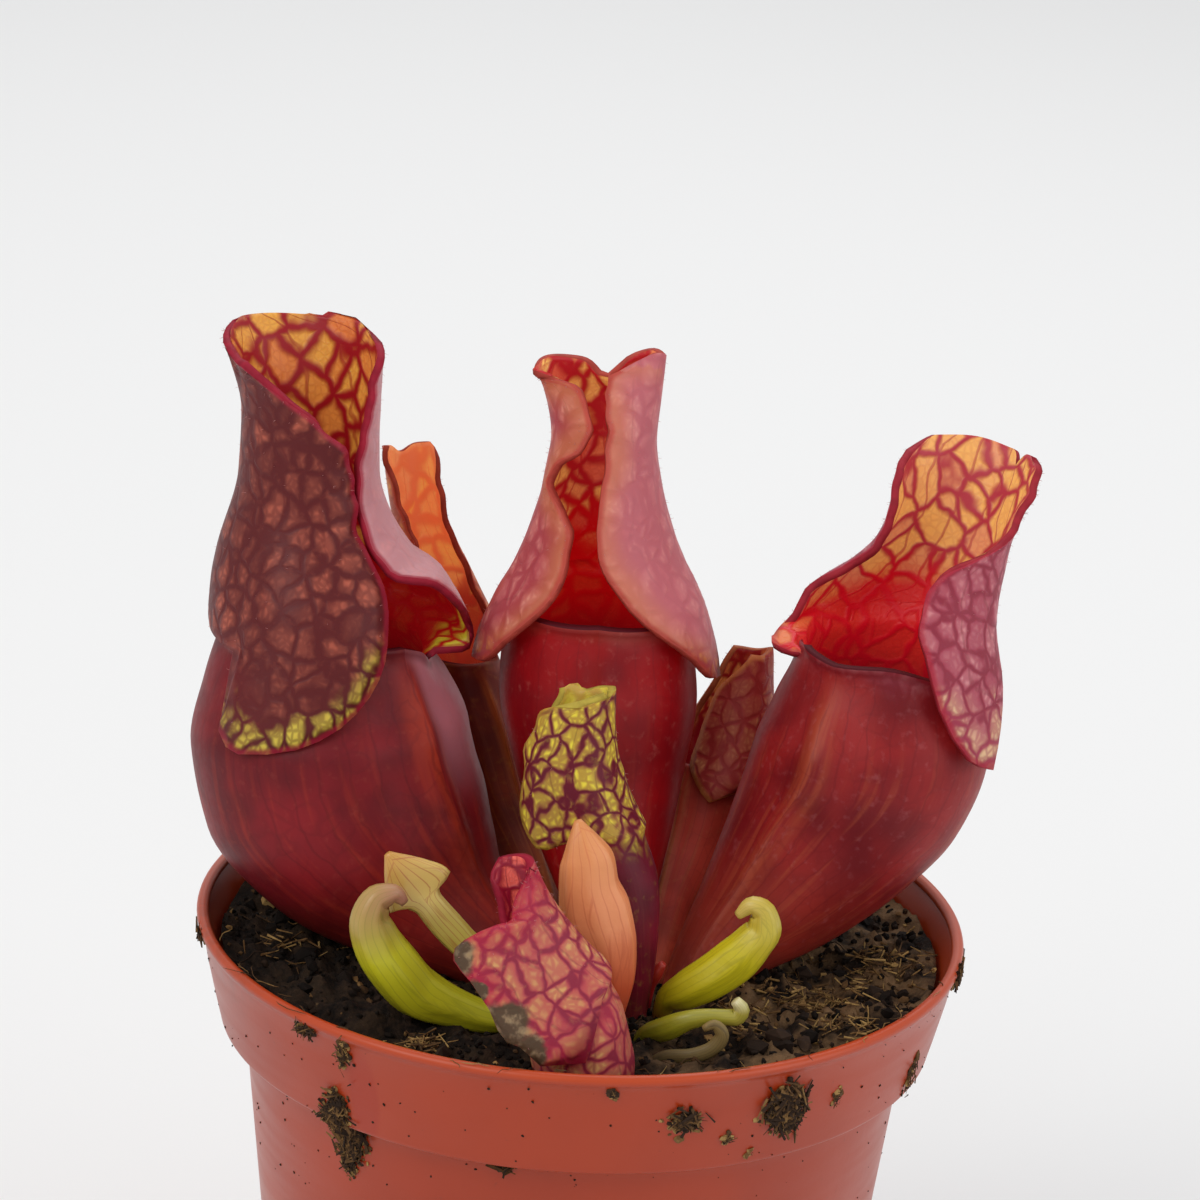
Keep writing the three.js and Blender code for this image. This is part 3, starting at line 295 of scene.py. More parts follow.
# %% The pitchers' rings and edges
# rings: [height, x, y, half width, depth behind, depth in front, tilt, turn]
# right and left: [height, degrees round from the back, flare, droop]
PITCHERS = {
    "leaf_left_pitcher": {
        "front": -42, "fold": [94, 66], "lip": 107.8,
        "rings": [
            [70.5, -3.6, -12.6, 2, 2, 2, 0, 0],
            [74.6, -8.4, -10, 4.5, 4, 4.5, 50, 0],
            [77, -16.4, -4, 9, 8, 9, 44, 0],
            [81.8, -23.3, 0, 13.8, 13, 13.5, 33, 0],
            [88.8, -28.7, 4, 16.6, 15.8, 16.5, 20, 0],
            [96.8, -30.7, 5, 16.6, 15.9, 16, 10, 0],
            [103.2, -31.4, 6, 14.6, 13.9, 14.2, 2, 0],
            [106.8, -31.7, 6, 12.7, 12.7, 12.9, -4, 0],
            [107.8, -31.8, 6, 12.2, 12.2, 12.6, -5, 0],
            [108.7, -32, 6.2, 13.4, 13.2, 13.6, -5, 0],
            [112.7, -32.8, 6.6, 12.6, 12.6, 12.6, -3, 0],
            [118.8, -34, 7.1, 10.4, 10.8, 10.2, -1, 0],
            [127.8, -34.3, 7.3, 8.1, 8.4, 8, 1, 0],
            [135.2, -34.5, 7.5, 7.9, 8, 7.9, 2, 0],
            [140.8, -35.2, 7.7, 8.4, 9.2, 8.5, 3, 0],
            [144, -35.8, 7.9, 9, 10.6, 9.2, 4, 0],
        ],
        "right": [
            [108.7, 86, 0.2, 0], [109.3, 97, 3.9, 8.5], [110.1, 109, 5, 10.8],
            [111.4, 131, 5, 10.4], [114.1, 160, 4.8, 7.4], [116, 171, 4.6, 4],
            [118.8, 177, 3, 1.2], [123, 174, 0.6, 0.2], [127.8, 177, 0, 0], [131.8, 168, 0, 0],
            [135.2, 145, 0.2, 0], [138.2, 116, 0.3, 0], [140.8, 86, 0.4, 0], [142.6, 45, 0.4, 0],
            [144, 8, 0.2, 0],
        ],
        "left": [
            [108.7, 150, 0.2, 0], [109.3, 146, 2, 0.6], [110.1, 138, 4.2, 1.6],
            [111.4, 130, 5.2, 1.2], [114.1, 152, 4.8, -1.4], [116, 162, 4.8, -2],
            [118.8, 178, 2.8, -0.4], [123, 181, 0.8, 0], [127.8, 178, 0, 0], [131.8, 174, 0, 0],
            [135.2, 166, 0.2, 0], [140.8, 148, 0.4, 0], [142.6, 122, 0.4, 0.2],
            [144, 70, 0.3, 0.4],
        ],
    },
    "leaf_middle_pitcher": {
        "front": -90, "fold": [74, 74], "lip": 112.3,
        "rings": [
            [70.5, 3.4, -7.6, 2, 2, 2, 0, 0],
            [77.9, 3.2, -4.2, 4.4, 4, 4.2, 22, 0],
            [85, 2.1, 2, 7.4, 7, 7.2, 18, 0],
            [93.9, 1, 8, 10.2, 10, 10.4, 10, 0],
            [102, 0.4, 10, 11.7, 11.4, 11.8, 3, 0],
            [108, 0.1, 10.5, 11.2, 11, 11.2, -2, 0],
            [111.5, 0.1, 10.5, 10.1, 10.1, 10.5, -6, 0],
            [112.3, 0, 10.5, 9.7, 9.7, 10.4, -7, 0],
            [112.9, 0, 10.8, 10.9, 10.6, 11.3, -7, 0],
            [116.2, 0, 11.2, 10.1, 9.8, 10.2, -4, 0],
            [121.3, -0.3, 11.6, 8.4, 8.6, 8.8, -1, 0],
            [127.6, -0.5, 11.8, 6.7, 7, 7.2, 2, 0],
            [132.4, -0.7, 12, 6.1, 6.4, 6.4, 4, 0],
            [137.5, -1.1, 12.2, 6.7, 5, 4.6, 6, 0],
            [141.4, -1.5, 12.4, 7.3, 3.4, 2.8, 8, 0],
        ],
        "right": [
            [112.9, 84, 0.2, 0], [113.3, 106, 4.4, 6.6], [114, 119, 4.4, 6.2], [114.9, 130, 4, 4],
            [116.2, 144, 2.8, 1.6], [118.1, 153, 1.6, 0.6], [121.3, 156, 0.6, 0],
            [124.7, 146, 0.4, 0], [127.6, 118, 0.5, 0], [129.9, 126, 0.5, 0],
            [132.4, 160, 0.2, 0], [135.7, 166, 0, 0], [138.6, 158, 0.2, 0], [141.4, 100, 0.5, 1],
        ],
        "left": [
            [112.9, 84, 0.2, 0], [113.3, 104, 4.2, 7.4], [114, 116, 4.4, 7], [114.9, 128, 4.2, 5],
            [116.2, 146, 3.6, 2.8], [118.1, 167, 1.8, 0.8], [121.3, 181, 1, 0],
            [124.7, 183, 0.8, 0], [127.6, 181, 0.6, 0], [132.4, 176, 0.3, 0],
            [138.6, 176, 0.3, 0], [141.4, 172, 0.2, 0],
        ],
    },
    "leaf_right_pitcher": {
        "front": -130, "fold": [68, 62], "lip": 110.2,
        "rings": [
            [70.5, 11, -13, 2, 2, 2, 0, 14],
            [75.4, 15, -8.4, 4.4, 4.2, 4.5, 48, 14],
            [79.7, 21.1, -3, 8, 7.4, 8.4, 44, 13],
            [85.5, 26.6, 1, 11, 10.6, 11.6, 36, 12],
            [91.7, 30.5, 3, 13, 12.6, 13.2, 25, 11],
            [98.1, 32.6, 4.2, 13.6, 13.2, 13.6, 13, 9],
            [103.5, 33.6, 5, 12.8, 12.5, 12.7, 4, 6],
            [109, 33.8, 5.5, 10.7, 10.6, 10.7, -6, 4],
            [110.2, 33.8, 5.6, 10.3, 10.2, 10.6, -7, 3],
            [111.5, 33.9, 5.8, 11.5, 11.2, 11.6, -7, 0],
            [115.2, 34.9, 6.5, 11, 10.7, 10.9, -4, 0],
            [120.3, 37.2, 7.1, 9.3, 9.2, 9.2, -2, 0],
            [125.8, 39.6, 7.8, 7.8, 8, 7.7, 2, 0],
            [131.3, 41.2, 8.4, 8.4, 8.3, 8.2, 7, 0],
            [134.3, 41.8, 8.8, 9.2, 8.8, 8.8, 10, 0],
        ],
        "right": [
            [111.5, 146, 0.3, 0], [112.3, 142, 1, 3.6], [113.3, 130, 2.8, 5],
            [114.1, 120, 4.3, 4.8], [115.2, 114, 3.4, 3.2], [116.6, 110, 1.8, 1.6],
            [118.2, 108, 0.9, 0.6], [120.3, 110, 0.8, 0.4], [124, 120, 0.5, 0],
            [128.5, 128, 0.3, 0], [131.3, 124, 0.4, 0], [133.2, 116, 0.6, 0.5],
            [134.3, 98, 0.6, 1],
        ],
        "left": [
            [111.5, 74, 0.2, 0], [112.3, 88, 3, 8.3], [113.3, 98, 5.2, 12.4],
            [114.1, 110, 5, 11.4], [115.2, 124, 3.8, 6.2], [116.6, 133, 2.6, 1.6],
            [118.2, 140, 1.6, 0.4], [120.3, 142, 0.6, 0], [122.4, 138, 0.2, 0],
            [124, 116, 0.2, 0], [125.8, 76, 0.2, 0], [128.5, 60, 0.3, 0], [131.3, 52, 0.8, 0],
            [133.2, 40, 1.2, 0], [134.3, 25, 1, 0],
        ],
    },
    "leaf_rear_left_pitcher": {
        "front": -60, "fold": [78, 78], "lip": 100,
        "rings": [
            [70.5, -1.6, -9, 1.5, 1.5, 1.5, 0, 0],
            [73, -2.8, -4.6, 2.1, 2, 2.1, 30, 0],
            [76.5, -5, 5.5, 3, 3, 3.2, 34, 0],
            [82.6, -9.8, 18, 4.4, 4.4, 4.6, 24, 0],
            [92, -13.8, 23.6, 5.1, 5.1, 5.2, 12, 0],
            [99, -16.4, 25.6, 4.6, 4.6, 4.8, 3, 0],
            [100, -16.8, 25.7, 4.3, 4.3, 4.5, 2, 0],
            [100.8, -17, 25.8, 5.3, 5.2, 5.3, 1, 0],
            [103.8, -17.9, 25.9, 4.7, 4.6, 4.6, 0, 0],
            [110, -20, 26.2, 3.8, 3.8, 3.8, 2, 0],
            [117.2, -22.6, 26.6, 3.2, 3.2, 3.2, 4, 0],
            [125.5, -24, 27.4, 3.4, 3, 3, 14, 0],
        ],
        "right": [
            [100.8, 88, 0.2, 0], [102, 106, 2.2, 3], [103.8, 122, 2, 2.6], [106.8, 134, 1.2, 1.6],
            [110, 138, 0.6, 0.6], [117.2, 126, 0.4, 0], [122, 104, 0.3, 0], [125.5, 76, 0.3, 0],
        ],
        "left": [
            [100.8, 88, 0.2, 0], [102, 104, 2.4, 3], [103.8, 120, 2.6, 3], [106.8, 132, 2.2, 2.4],
            [110, 138, 1.5, 1.4], [117.2, 120, 0.4, 0], [122, 100, 0.3, 0], [125.5, 76, 0.3, 0],
        ],
    },
    "leaf_rear_right_pitcher": {
        "front": -130, "fold": [78, 78], "lip": 90.9,
        "rings": [
            [70.5, 8.2, -8.6, 1.5, 1.5, 1.5, 0, 0],
            [73.6, 9.4, -4.4, 2.2, 2.1, 2.2, 28, 0],
            [78, 11, 3.6, 3.3, 3.2, 3.4, 33, 0],
            [83.6, 13.8, 13.6, 4.9, 4.9, 5.1, 24, 0],
            [89.9, 15.2, 17.8, 5.5, 5.4, 5.6, 12, 0],
            [90.9, 15.4, 18, 5.1, 5, 5.2, 9, 0],
            [91.9, 15.7, 18.2, 6.1, 5.8, 6.1, 6, 0],
            [96.4, 17, 18.8, 5, 4.6, 4.6, 4, 0],
            [100, 17.8, 19.2, 3.8, 3.6, 3.4, 8, 0],
            [104.6, 18.3, 19.8, 2.4, 2.2, 2.2, 14, 0],
        ],
        "right": [
            [91.9, 92, 0.2, 0], [93.3, 124, 2, 3], [96.4, 140, 1.5, 2.6], [100, 130, 0.6, 1],
            [104.6, 96, 0, 0],
        ],
        "left": [
            [91.9, 92, 0.2, 0], [93.3, 150, 2.4, 5.4], [96.4, 186, 1.9, 4], [100, 190, 1.2, 1],
            [104.6, 140, 0.7, 0],
        ],
    },
    "leaf_young_pitcher": {
        "front": 168, "fold": [76, 76], "lip": 94,
        "rings": [
            [70.5, 6.4, -17.6, 1.5, 1.5, 1.5, 0, 0],
            [77, 6.3, -17.6, 2.3, 2.2, 2.3, 8, 0],
            [83.3, 5.6, -17, 3.4, 3.3, 3.5, 8, 0],
            [89.9, 4.1, -15.5, 4.4, 4.3, 4.6, 6, 0],
            [94, 2, -14.2, 4.7, 4.6, 4.8, 2, 0],
            [95, 1.3, -13.9, 5.6, 5.4, 5.7, 0, 0],
            [97.8, -0.4, -13.2, 6, 5.4, 6, 0, 0],
            [100.1, -1.3, -13, 5.8, 5.4, 5.8, 0, 0],
            [103.6, -2, -12.7, 5.1, 5, 5, 2, 0],
            [110, -1.8, -12, 3.8, 3.8, 3.6, 6, 0],
        ],
        "right": [
            [95, 98, 0.2, 0], [96.5, 118, 1.6, 2.4], [97.8, 135, 1.2, 1.4], [100.1, 140, 0.6, 0.6],
            [103.6, 140, 0.3, 0], [108.8, 134, 0.3, 0], [110, 100, 0.3, 0],
        ],
        "left": [
            [95, 100, 0.2, 0], [96.5, 132, 1.6, 3.6], [97.8, 150, 1.2, 3], [100.1, 157, 0.6, 1.2],
            [103.6, 158, 0.3, 0], [107.1, 150, 0.2, 0], [108.8, 120, 0.2, 0], [110, 20, 0.2, 0],
        ],
    },
    "leaf_front_pitcher": {
        "front": -165, "fold": [66, 58], "lip": 82.3,
        "rings": [
            [68, 4, -33, 3, 2.6, 3, 0, 0],
            [72, 3, -33.6, 4.6, 3.8, 4.2, -5, 0],
            [75.4, 1.7, -34, 6.2, 5, 5.8, -14, 0],
            [79.5, 0.6, -34, 6.2, 5, 5.8, -26, 0],
            [82.3, -0.4, -33.7, 5.4, 4.5, 5, -32, 0],
            [83, -0.7, -33.6, 6.2, 5.2, 5.8, -34, 0],
            [84.5, -1.9, -33, 5.6, 4.7, 5.2, -36, 0],
            [87.8, -4.3, -32.2, 4.4, 4, 4.1, -38, 0],
            [92.3, -6.7, -31.4, 3.5, 3.2, 3.2, -32, 0],
            [95.7, -8.3, -30.6, 3.1, 3, 3, -20, 0],
        ],
        "right": [
            [83, 84, 0.2, 0], [83.6, 96, 1.6, 1], [84.5, 110, 1.4, 1], [86.2, 128, 1, 0.6],
            [87.8, 138, 0.6, 0.3], [90, 144, 0.3, 0], [92.3, 138, 0.2, 0], [94.2, 126, 0.2, 0],
            [95.7, 96, 0.2, 0],
        ],
        "left": [
            [83, 80, 0.2, 0], [83.6, 92, 4.2, 7], [84.5, 102, 5.6, 7.6], [86.2, 112, 6, 6.4],
            [87.8, 122, 4.6, 3], [90, 128, 1.4, 0.6], [92.3, 138, 0.3, 0], [94.2, 112, 0.2, 0],
            [95.7, 60, 0.2, 0],
        ],
    },
}

# %% [markdown]
# ## The closed leaves
# Between the pitchers stand young leaves that haven't opened: buds with hooked or arrow-shaped
# tips. Each is a line with a half width and a half depth along it.

# %% The closed leaves' lines
# line: [x, y, z, half width, half depth]
CLOSED_LEAVES = {
    "leaf_salmon_bud": {
        "front": -80,
        "line": [
            [3.4, -22.2, 70.5, 1, 1], [3.9, -22.9, 79, 2.5, 1.7], [3, -23.4, 83.8, 3.5, 2],
            [1.6, -23.8, 88.1, 3.9, 2.1], [0.7, -24, 91.5, 3.3, 2], [0.4, -24, 94.2, 3, 1.8],
            [-0.3, -23.8, 96.7, 1.8, 1.2], [-1, -23.4, 98.9, 0.4, 0.4],
        ],
    },
    "leaf_green_left": {
        "front": -60,
        "line": [
            [-1.8, -20.6, 70.9, 0.9, 0.9], [-5.3, -22, 73.6, 1.3, 1.3],
            [-10.2, -23.2, 74.3, 1.8, 2], [-13.5, -23.8, 75.4, 2.2, 2.3],
            [-17.6, -24.4, 77.3, 2.9, 2.8], [-20.1, -24.8, 80.1, 3, 2.9],
            [-22.5, -25, 83.7, 2.7, 2.6], [-23.4, -25, 86.4, 2.2, 2.1],
            [-22.6, -24.8, 88.7, 1.6, 1.6], [-20.8, -24.6, 89.2, 1.1, 1.1],
            [-19.6, -24.5, 88.2, 0.5, 0.5],
        ],
    },
    "leaf_arrow": {
        "front": -75,
        "line": [
            [-2.6, -17.2, 72, 0.9, 0.9], [-5.6, -18.6, 76.4, 1.1, 1], [-9, -19.2, 79.1, 1.4, 1],
            [-12.3, -20, 81.2, 1.7, 1], [-15.1, -20.6, 84.2, 1.8, 0.9], [-17, -21, 86.6, 1.7, 0.9],
            [-17.7, -21, 87.4, 2.2, 0.8], [-18.1, -21, 88, 4, 0.7], [-19.6, -21, 89.7, 3, 0.8],
            [-21, -21, 91.3, 1.6, 0.7], [-22, -21, 92.5, 0.4, 0.4],
        ],
    },
    "leaf_green_right": {
        "front": -100,
        "line": [
            [9.6, -16.6, 72.4, 0.9, 0.9], [10.4, -18, 75.4, 1.4, 1.3],
            [12.6, -19.5, 77.4, 2.2, 1.9], [15.2, -20, 79.4, 2.5, 2.2],
            [17.4, -20.2, 81.4, 2.6, 2.2], [19.3, -20.4, 83.8, 2.3, 2.1],
            [20.6, -20.4, 86.1, 1.9, 1.8], [20.3, -20.4, 88, 1.4, 1.4],
            [19.1, -20.4, 88.6, 1.1, 1.1], [17.5, -20.4, 87.3, 0.5, 0.5],
        ],
    },
    "leaf_green_low": {
        "front": -95,
        "line": [
            [7, -22.4, 71, 0.9, 0.9], [8.4, -24.6, 74, 1.2, 1], [10.5, -26.3, 75.7, 1.4, 1.1],
            [13.1, -27, 77.3, 1.1, 0.9], [15.8, -27, 77.8, 0.9, 0.8], [17.8, -27, 77.8, 1, 0.8],
            [18.5, -27, 78.8, 0.9, 0.8], [17.7, -27, 79.9, 0.6, 0.6],
        ],
    },
    "leaf_dry_curl": {
        "front": -95,
        "line": [
            [8, -28.2, 71.4, 0.7, 0.6], [10.6, -29.2, 73.6, 0.8, 0.6], [13.5, -30, 74.3, 0.9, 0.6],
            [15.6, -30, 75.4, 0.9, 0.6], [16.4, -30, 77, 0.8, 0.6], [15.4, -30, 78.2, 0.6, 0.5],
            [14.3, -30, 77.6, 0.4, 0.4],
        ],
    },
    "leaf_red_bud": {
        "front": -90,
        "line": [
            [8, -14.6, 72, 0.5, 0.5], [8.3, -14.8, 75.6, 0.7, 0.7], [8.9, -15.2, 77.2, 0.8, 0.8],
            [9.7, -15.4, 78.7, 0.4, 0.4],
        ],
    },
}

# %% [markdown]
# ## Smooth curves through a table
# Each column of a table is read as a smooth curve. A plain spline would swing past the given
# values between two rings, which shows as a dent. This curve takes its slopes from the rises
# on both sides in a way that never does that.

# %% Reading a table as curves
def ease_through(knots, values):
    """A smooth curve through the values that never swings past them."""
    steps = [b - a for a, b in zip(knots, knots[1:])]
    rises = [(b - a) / step for a, b, step in zip(values, values[1:], steps)]
    slopes = [0.0] * len(knots)
    slopes[0], slopes[-1] = rises[0], rises[-1]
    for i in range(1, len(knots) - 1):
        if rises[i - 1] * rises[i] > 0:
            before = 2 * steps[i] + steps[i - 1]
            after = steps[i] + 2 * steps[i - 1]
            slopes[i] = (before + after) / (before / rises[i - 1] + after / rises[i])

    def at(place):
        i = 0
        while i < len(knots) - 2 and place >= knots[i + 1]:
            i += 1
        t = min(max((place - knots[i]) / steps[i], 0.0), 1.0)
        return ((2 * t ** 3 - 3 * t ** 2 + 1) * values[i]
                + (t ** 3 - 2 * t ** 2 + t) * steps[i] * slopes[i]
                + (3 * t ** 2 - 2 * t ** 3) * values[i + 1]
                + (t ** 3 - t ** 2) * steps[i] * slopes[i + 1])
    return at


def read_table(table):
    """Reads each column as a curve over the first one."""
    knots = [row[0] for row in table]
    curves = [ease_through(knots, column) for column in list(zip(*table))[1:]]
    return lambda place: [curve(place) for curve in curves]


def smooth(value, low, high):
    """0 at low, 1 at high and a smooth step between them."""
    t = min(max((value - low) / (high - low), 0.0), 1.0)
    return t * t * (3 - 2 * t)


# %% [markdown]
# ## Small changes of form
# No two leaves of a plant have the same edge. Some margins are pulled out into a wide flap, a
# hood has a notch or a point at its top, and the mouth's lip rises at the front. These few
# lists move the skin by a few millimetres at named heights and angles. A list of points for a
# free edge is used where the edge wanders too far for a flare and a droop to describe it.

# %% Small changes of form
# [height, x, y, z] of the free edge where it is pulled out into a wide flap
MARGINS = {
    "leaf_front_pitcher": {"left": [
        [83, 1.5, -41.4, 78], [83.6, -3.3, -41.4, 77.3], [84.3, -5.2, -41.2, 79.1],
        [85.2, -7.6, -41, 79.8], [86.2, -9.2, -41, 83.3], [87.2, -11.3, -40.8, 86.2],
        [88.4, -13.4, -40.2, 88.6], [89.2, -13.3, -40, 89.6], [90.2, -11.6, -39.5, 91.2],
        [91, -9.3, -38, 92], [92.1, -7.7, -35.5, 91.6], [93.9, -7.4, -33, 93],
        [95.7, -6.1, -31.5, 95.6],
    ]},
    "leaf_right_pitcher": {"right": [
        [111.5, 24.8, 2.2, 110.9], [112.3, 23.0, 3.6, 109.9], [113.3, 20.5, 6.4, 109.8],
        [114.1, 20.7, 9.0, 110.6], [115.2, 22.5, 10.4, 112.8], [116.6, 24.0, 10.8, 115.9],
        [118.2, 25.7, 10.9, 117.5], [120.3, 28.1, 10.6, 118.9], [124, 31.3, 9.1, 122.4],
        [128.5, 32.8, 8.4, 126.9], [131.3, 33.0, 9.3, 130.3], [133.2, 33.4, 10.8, 131.8],
        [134.3, 34.4, 13.3, 132.8],
    ]},
}
# angles round the lip, and how much higher than the ring its edge is there
LIP_LIFT = {
    "leaf_left_pitcher": [[-180, -150, -95, 112, 150, 166, 180], [3.6, 4, 0, 0, 0.2, 2.4, 3.6]],
    "leaf_middle_pitcher": [[-180, -140, -84, 84, 140, 180], [2.2, 1.4, 0, 0, 1.4, 2.2]],
    "leaf_right_pitcher": [[-180, -150, -95, 95, 150, 180], [2.6, 3, 0, 0, 3, 2.6]],
}
# [height, angle, height spread, angle spread, outwards, upwards] of each dent or point
TOUCHES = {
    "leaf_left_pitcher": [[141.8, -84, 1.4, 9, 1.3, 1.0], [141.0, -64, 1.6, 8, -0.6, -0.8]],
    "leaf_middle_pitcher": [[141.4, 6, 2.6, 13, -0.6, -1.9], [141.4, 176, 3.4, 20, -0.5, -1.4],
                            [141.4, -108, 3, 26, 0.2, -1.0], [141.4, 56, 4, 34, 0, 1.7],
                            [141.4, 122, 4, 32, 0.2, 1.6], [141.4, -45, 3, 30, 0, 0.3]],
    "leaf_right_pitcher": [[134.3, -100, 3.6, 19, -0.3, -1.2], [134.3, 9, 2.2, 4, -0.3, -1.6],
                           [134.3, -30, 3, 26, 0.2, 0.6]],
    "leaf_young_pitcher": [[110, -12, 2.4, 30, 0.3, 0.9], [110, -100, 2.6, 30, 0, -1.5]],
    "leaf_rear_left_pitcher": [[125.5, 0, 2.5, 22, 0, -0.9]],
    "leaf_rear_right_pitcher": [[104.6, 40, 3, 40, 0.4, 0.9]],
}


# %% [markdown]
# ## One pitcher as one sheet
# The whole leaf could be sculpted by hand, but then nothing could be changed later. Here one
# class answers one question: where is the skin at this height and this angle from the middle
# of the back? The tube, the hood, the wing on the front, the rolled lip and the flaps all come
# out of that one answer, so they join without a seam.

# %% The sheet that a pitcher is made of
class Sheet:
    """Gives the point of a pitcher's skin at a height and an angle from the middle of its back."""

    def __init__(self, name, table):
        self.table = table
        self.lip = table["lip"]
        self.foot = table["rings"][0][0]
        self.top = table["rings"][-1][0]
        self.ring = read_table(table["rings"])
        self.edges = [read_table(table["right"]), read_table(table["left"])]
        self.keel_height = table.get("keel", 0.0)
        self.roll = table.get("roll", 0.0)
        self.lift = table["lift"]
        self.touches = table.get("touches", [])
        margins = MARGINS.get(name, {})
        self.margins = [read_table(margins[side]) if side in margins else None
                        for side in ("right", "left")]
        self.rows = {}

    def touch(self, height, angle):
        """How far the small dents and points move this place outwards and upwards."""
        out = lift = 0.0
        for at, around, tall, wide, outwards, upwards in self.touches:
            share = math.exp(-((height - at) / tall) ** 2 - ((angle - around) / wide) ** 2)
            out += outwards * share
            lift += upwards * share
        return out, lift

    def row(self, height):
        if height not in self.rows:
            above = max(height, self.table["right"][0][0])
            self.rows[height] = (self.ring(height), [edge(above) for edge in self.edges])
        return self.rows[height]

    def wrap(self, height, side):
        return self.row(height)[1][side][0]

    def rise(self, height):
        """0 at the foot, 1 at the lip and 2 at the hood's top."""
        if height <= self.lip:
            return (height - self.foot) / (self.lip - self.foot)
        return 1 + (height - self.lip) / (self.top - self.lip)

    def keel(self, height, angle):
        """The low wing that runs down the front of the tube."""
        rise = self.rise(height)
        if rise > 1:
            return 0.0
        along = smooth(rise, 0.05, 0.35) * smooth(rise, 1.0, 0.8)
        return along * math.exp(-((180 - abs(angle)) / 7.5) ** 2)

    def point(self, height, angle):
        (x, y, width, behind, before, tilt, turn), edges = self.row(height)
        side = 0 if angle < 0 else 1
        facing = math.radians(self.table["front"] + turn)
        lean = math.radians(tilt)
        level = Vector((math.cos(facing), math.sin(facing), 0))
        sideways = Vector((-math.sin(facing), math.cos(facing), 0))
        forward = level * math.cos(lean) + Vector((0, 0, math.sin(lean)))
        upward = level * -math.sin(lean) + Vector((0, 0, math.cos(lean)))
        around = math.radians(angle)
        reach = behind if math.cos(around) > 0 else before
        spoke = forward * (-math.cos(around) * reach) + sideways * (math.sin(around) * width)
        middle = Vector((x, y, height)) + spoke
        outward = spoke.normalized()
        if height <= self.lip:
            hood_end = self.wrap(self.lip, side)
            front = smooth(abs(angle), hood_end - 8, hood_end + 12)
            roll = self.roll * math.exp(-((height - self.lip) / 0.9) ** 2) * front
            lift = (self.lift(angle) if self.lift else 0) * smooth(height, self.lip - 7, self.lip)
            ridge = self.keel_height * self.keel(height, angle)
            return middle + outward * (ridge + roll) + Vector((0, 0, lift))
        wrap, flare, droop = edges[side]
        fold = self.table["fold"][side]
        free = min(max((abs(angle) - fold) / max(wrap - fold, 1), 0.0), 1.0)
        out, lift = self.touch(height, angle)
        if self.margins[side]:
            end = math.radians(wrap if side else -wrap)
            far = behind if math.cos(end) > 0 else before
            start = (Vector((x, y, height)) - forward * (math.cos(end) * far)
                     + sideways * (math.sin(end) * width))
            pull = Vector(self.margins[side](height)) - start
            swell = 2.4 if wrap > 150 else 0.8
            return (middle + pull * free ** 0.9 + upward * lift * (1 - free)
                    + outward * (swell * free * (1 - free)))
        return (middle + outward * (flare * free ** 0.85 + out)
                + upward * (lift - droop * free ** 1.4))


LARGE_LIP = 105
for name, table in PITCHERS.items():
    large = table["lip"] > LARGE_LIP
    table["keel"] = 1.6 if large else 0.5
    table["roll"] = 0.7 if large else 0.3
    table["lift"] = ease_through(*LIP_LIFT[name]) if name in LIP_LIFT else None
    table["touches"] = TOUCHES.get(name, [])
sheets = {name: Sheet(name, table) for name, table in PITCHERS.items()}
print(len(sheets), "pitchers and", len(CLOSED_LEAVES), "closed leaves are described")

# %% [markdown]
# ## Shaping a grid into a skin
# A grid is the easiest start for a leaf: its columns run along the leaf and its rows across.
# One grid is rolled into the tube and closed down the front. A second one, with only the
# back's columns, is the hood, and its lowest row is welded to the tube's lip. Each point also
# remembers where it lies on the leaf, so that the veins can follow the skin: the skin map
# gives millimetres around and along, and single values tell the hood from the tube, the way
# up, the distance from the free edge and the wing on the front.

# %% The rolled grid
def finer(heights, step):
    """The given heights with more between them, none further apart than the step."""
    made = [heights[0]]
    for low, high in zip(heights, heights[1:]):
        parts = max(1, math.ceil((high - low) / step))
        made += [low + (high - low) * (i + 1) / parts for i in range(parts)]
    return made


def shape_grid(mesh, points, skin_map, turns, notes, layers):
    """Adds a grid to the mesh and moves its points; notes(row, column) gives the layer values."""
    rows, columns = len(points), len(points[0])
    made = bmesh.ops.create_grid(mesh, x_segments=columns - 1, y_segments=rows - 1,
                                 size=1)["verts"]
    where = {}
    for vertex in made:
        column = round((vertex.co.x + 1) / 2 * (columns - 1))
        row = round((vertex.co.y + 1) / 2 * (rows - 1))
        where[vertex] = (row, column)
        vertex.co = points[row][column] * MM
        for layer, value in zip(layers, notes(row, column)):
            vertex[layer] = value
    for face in {face for vertex in made for face in vertex.link_faces}:
        for loop in face.loops:
            row, column = where[loop.vert]
            loop[mesh.loops.layers.uv["skin"]].uv = skin_map[row][column]
            loop[mesh.loops.layers.uv["turn"]].uv = (turns[row][column] / 180, 0)


def measured(points, middle, starts=None):
    """Maps each point to millimetres around from the middle column and along its column."""
    along = list(starts or [0.0] * len(points[0]))
    maps = []
    for r, row in enumerate(points):
        if r:
            along = [a + (p - q).length for a, p, q in zip(along, row, points[r - 1])]
        around = [0.0] * len(row)
        for c in range(middle + 1, len(row)):
            around[c] = around[c - 1] + (row[c] - row[c - 1]).length
        for c in range(middle - 1, -1, -1):
            around[c] = around[c + 1] - (row[c] - row[c + 1]).length
        maps.append(list(zip(around, along)))
    return maps


LAYERS = ("rise", "hood", "edge", "tip")
FRONT_COLUMNS, HOOD_COLUMNS = 14, 44
TUBE_STEP, HOOD_STEP, BUD_STEP = 0.8, 0.7, 0.5
BUD_COLUMNS = 28
FAR = 20.0
MID_EDGE = 5.0


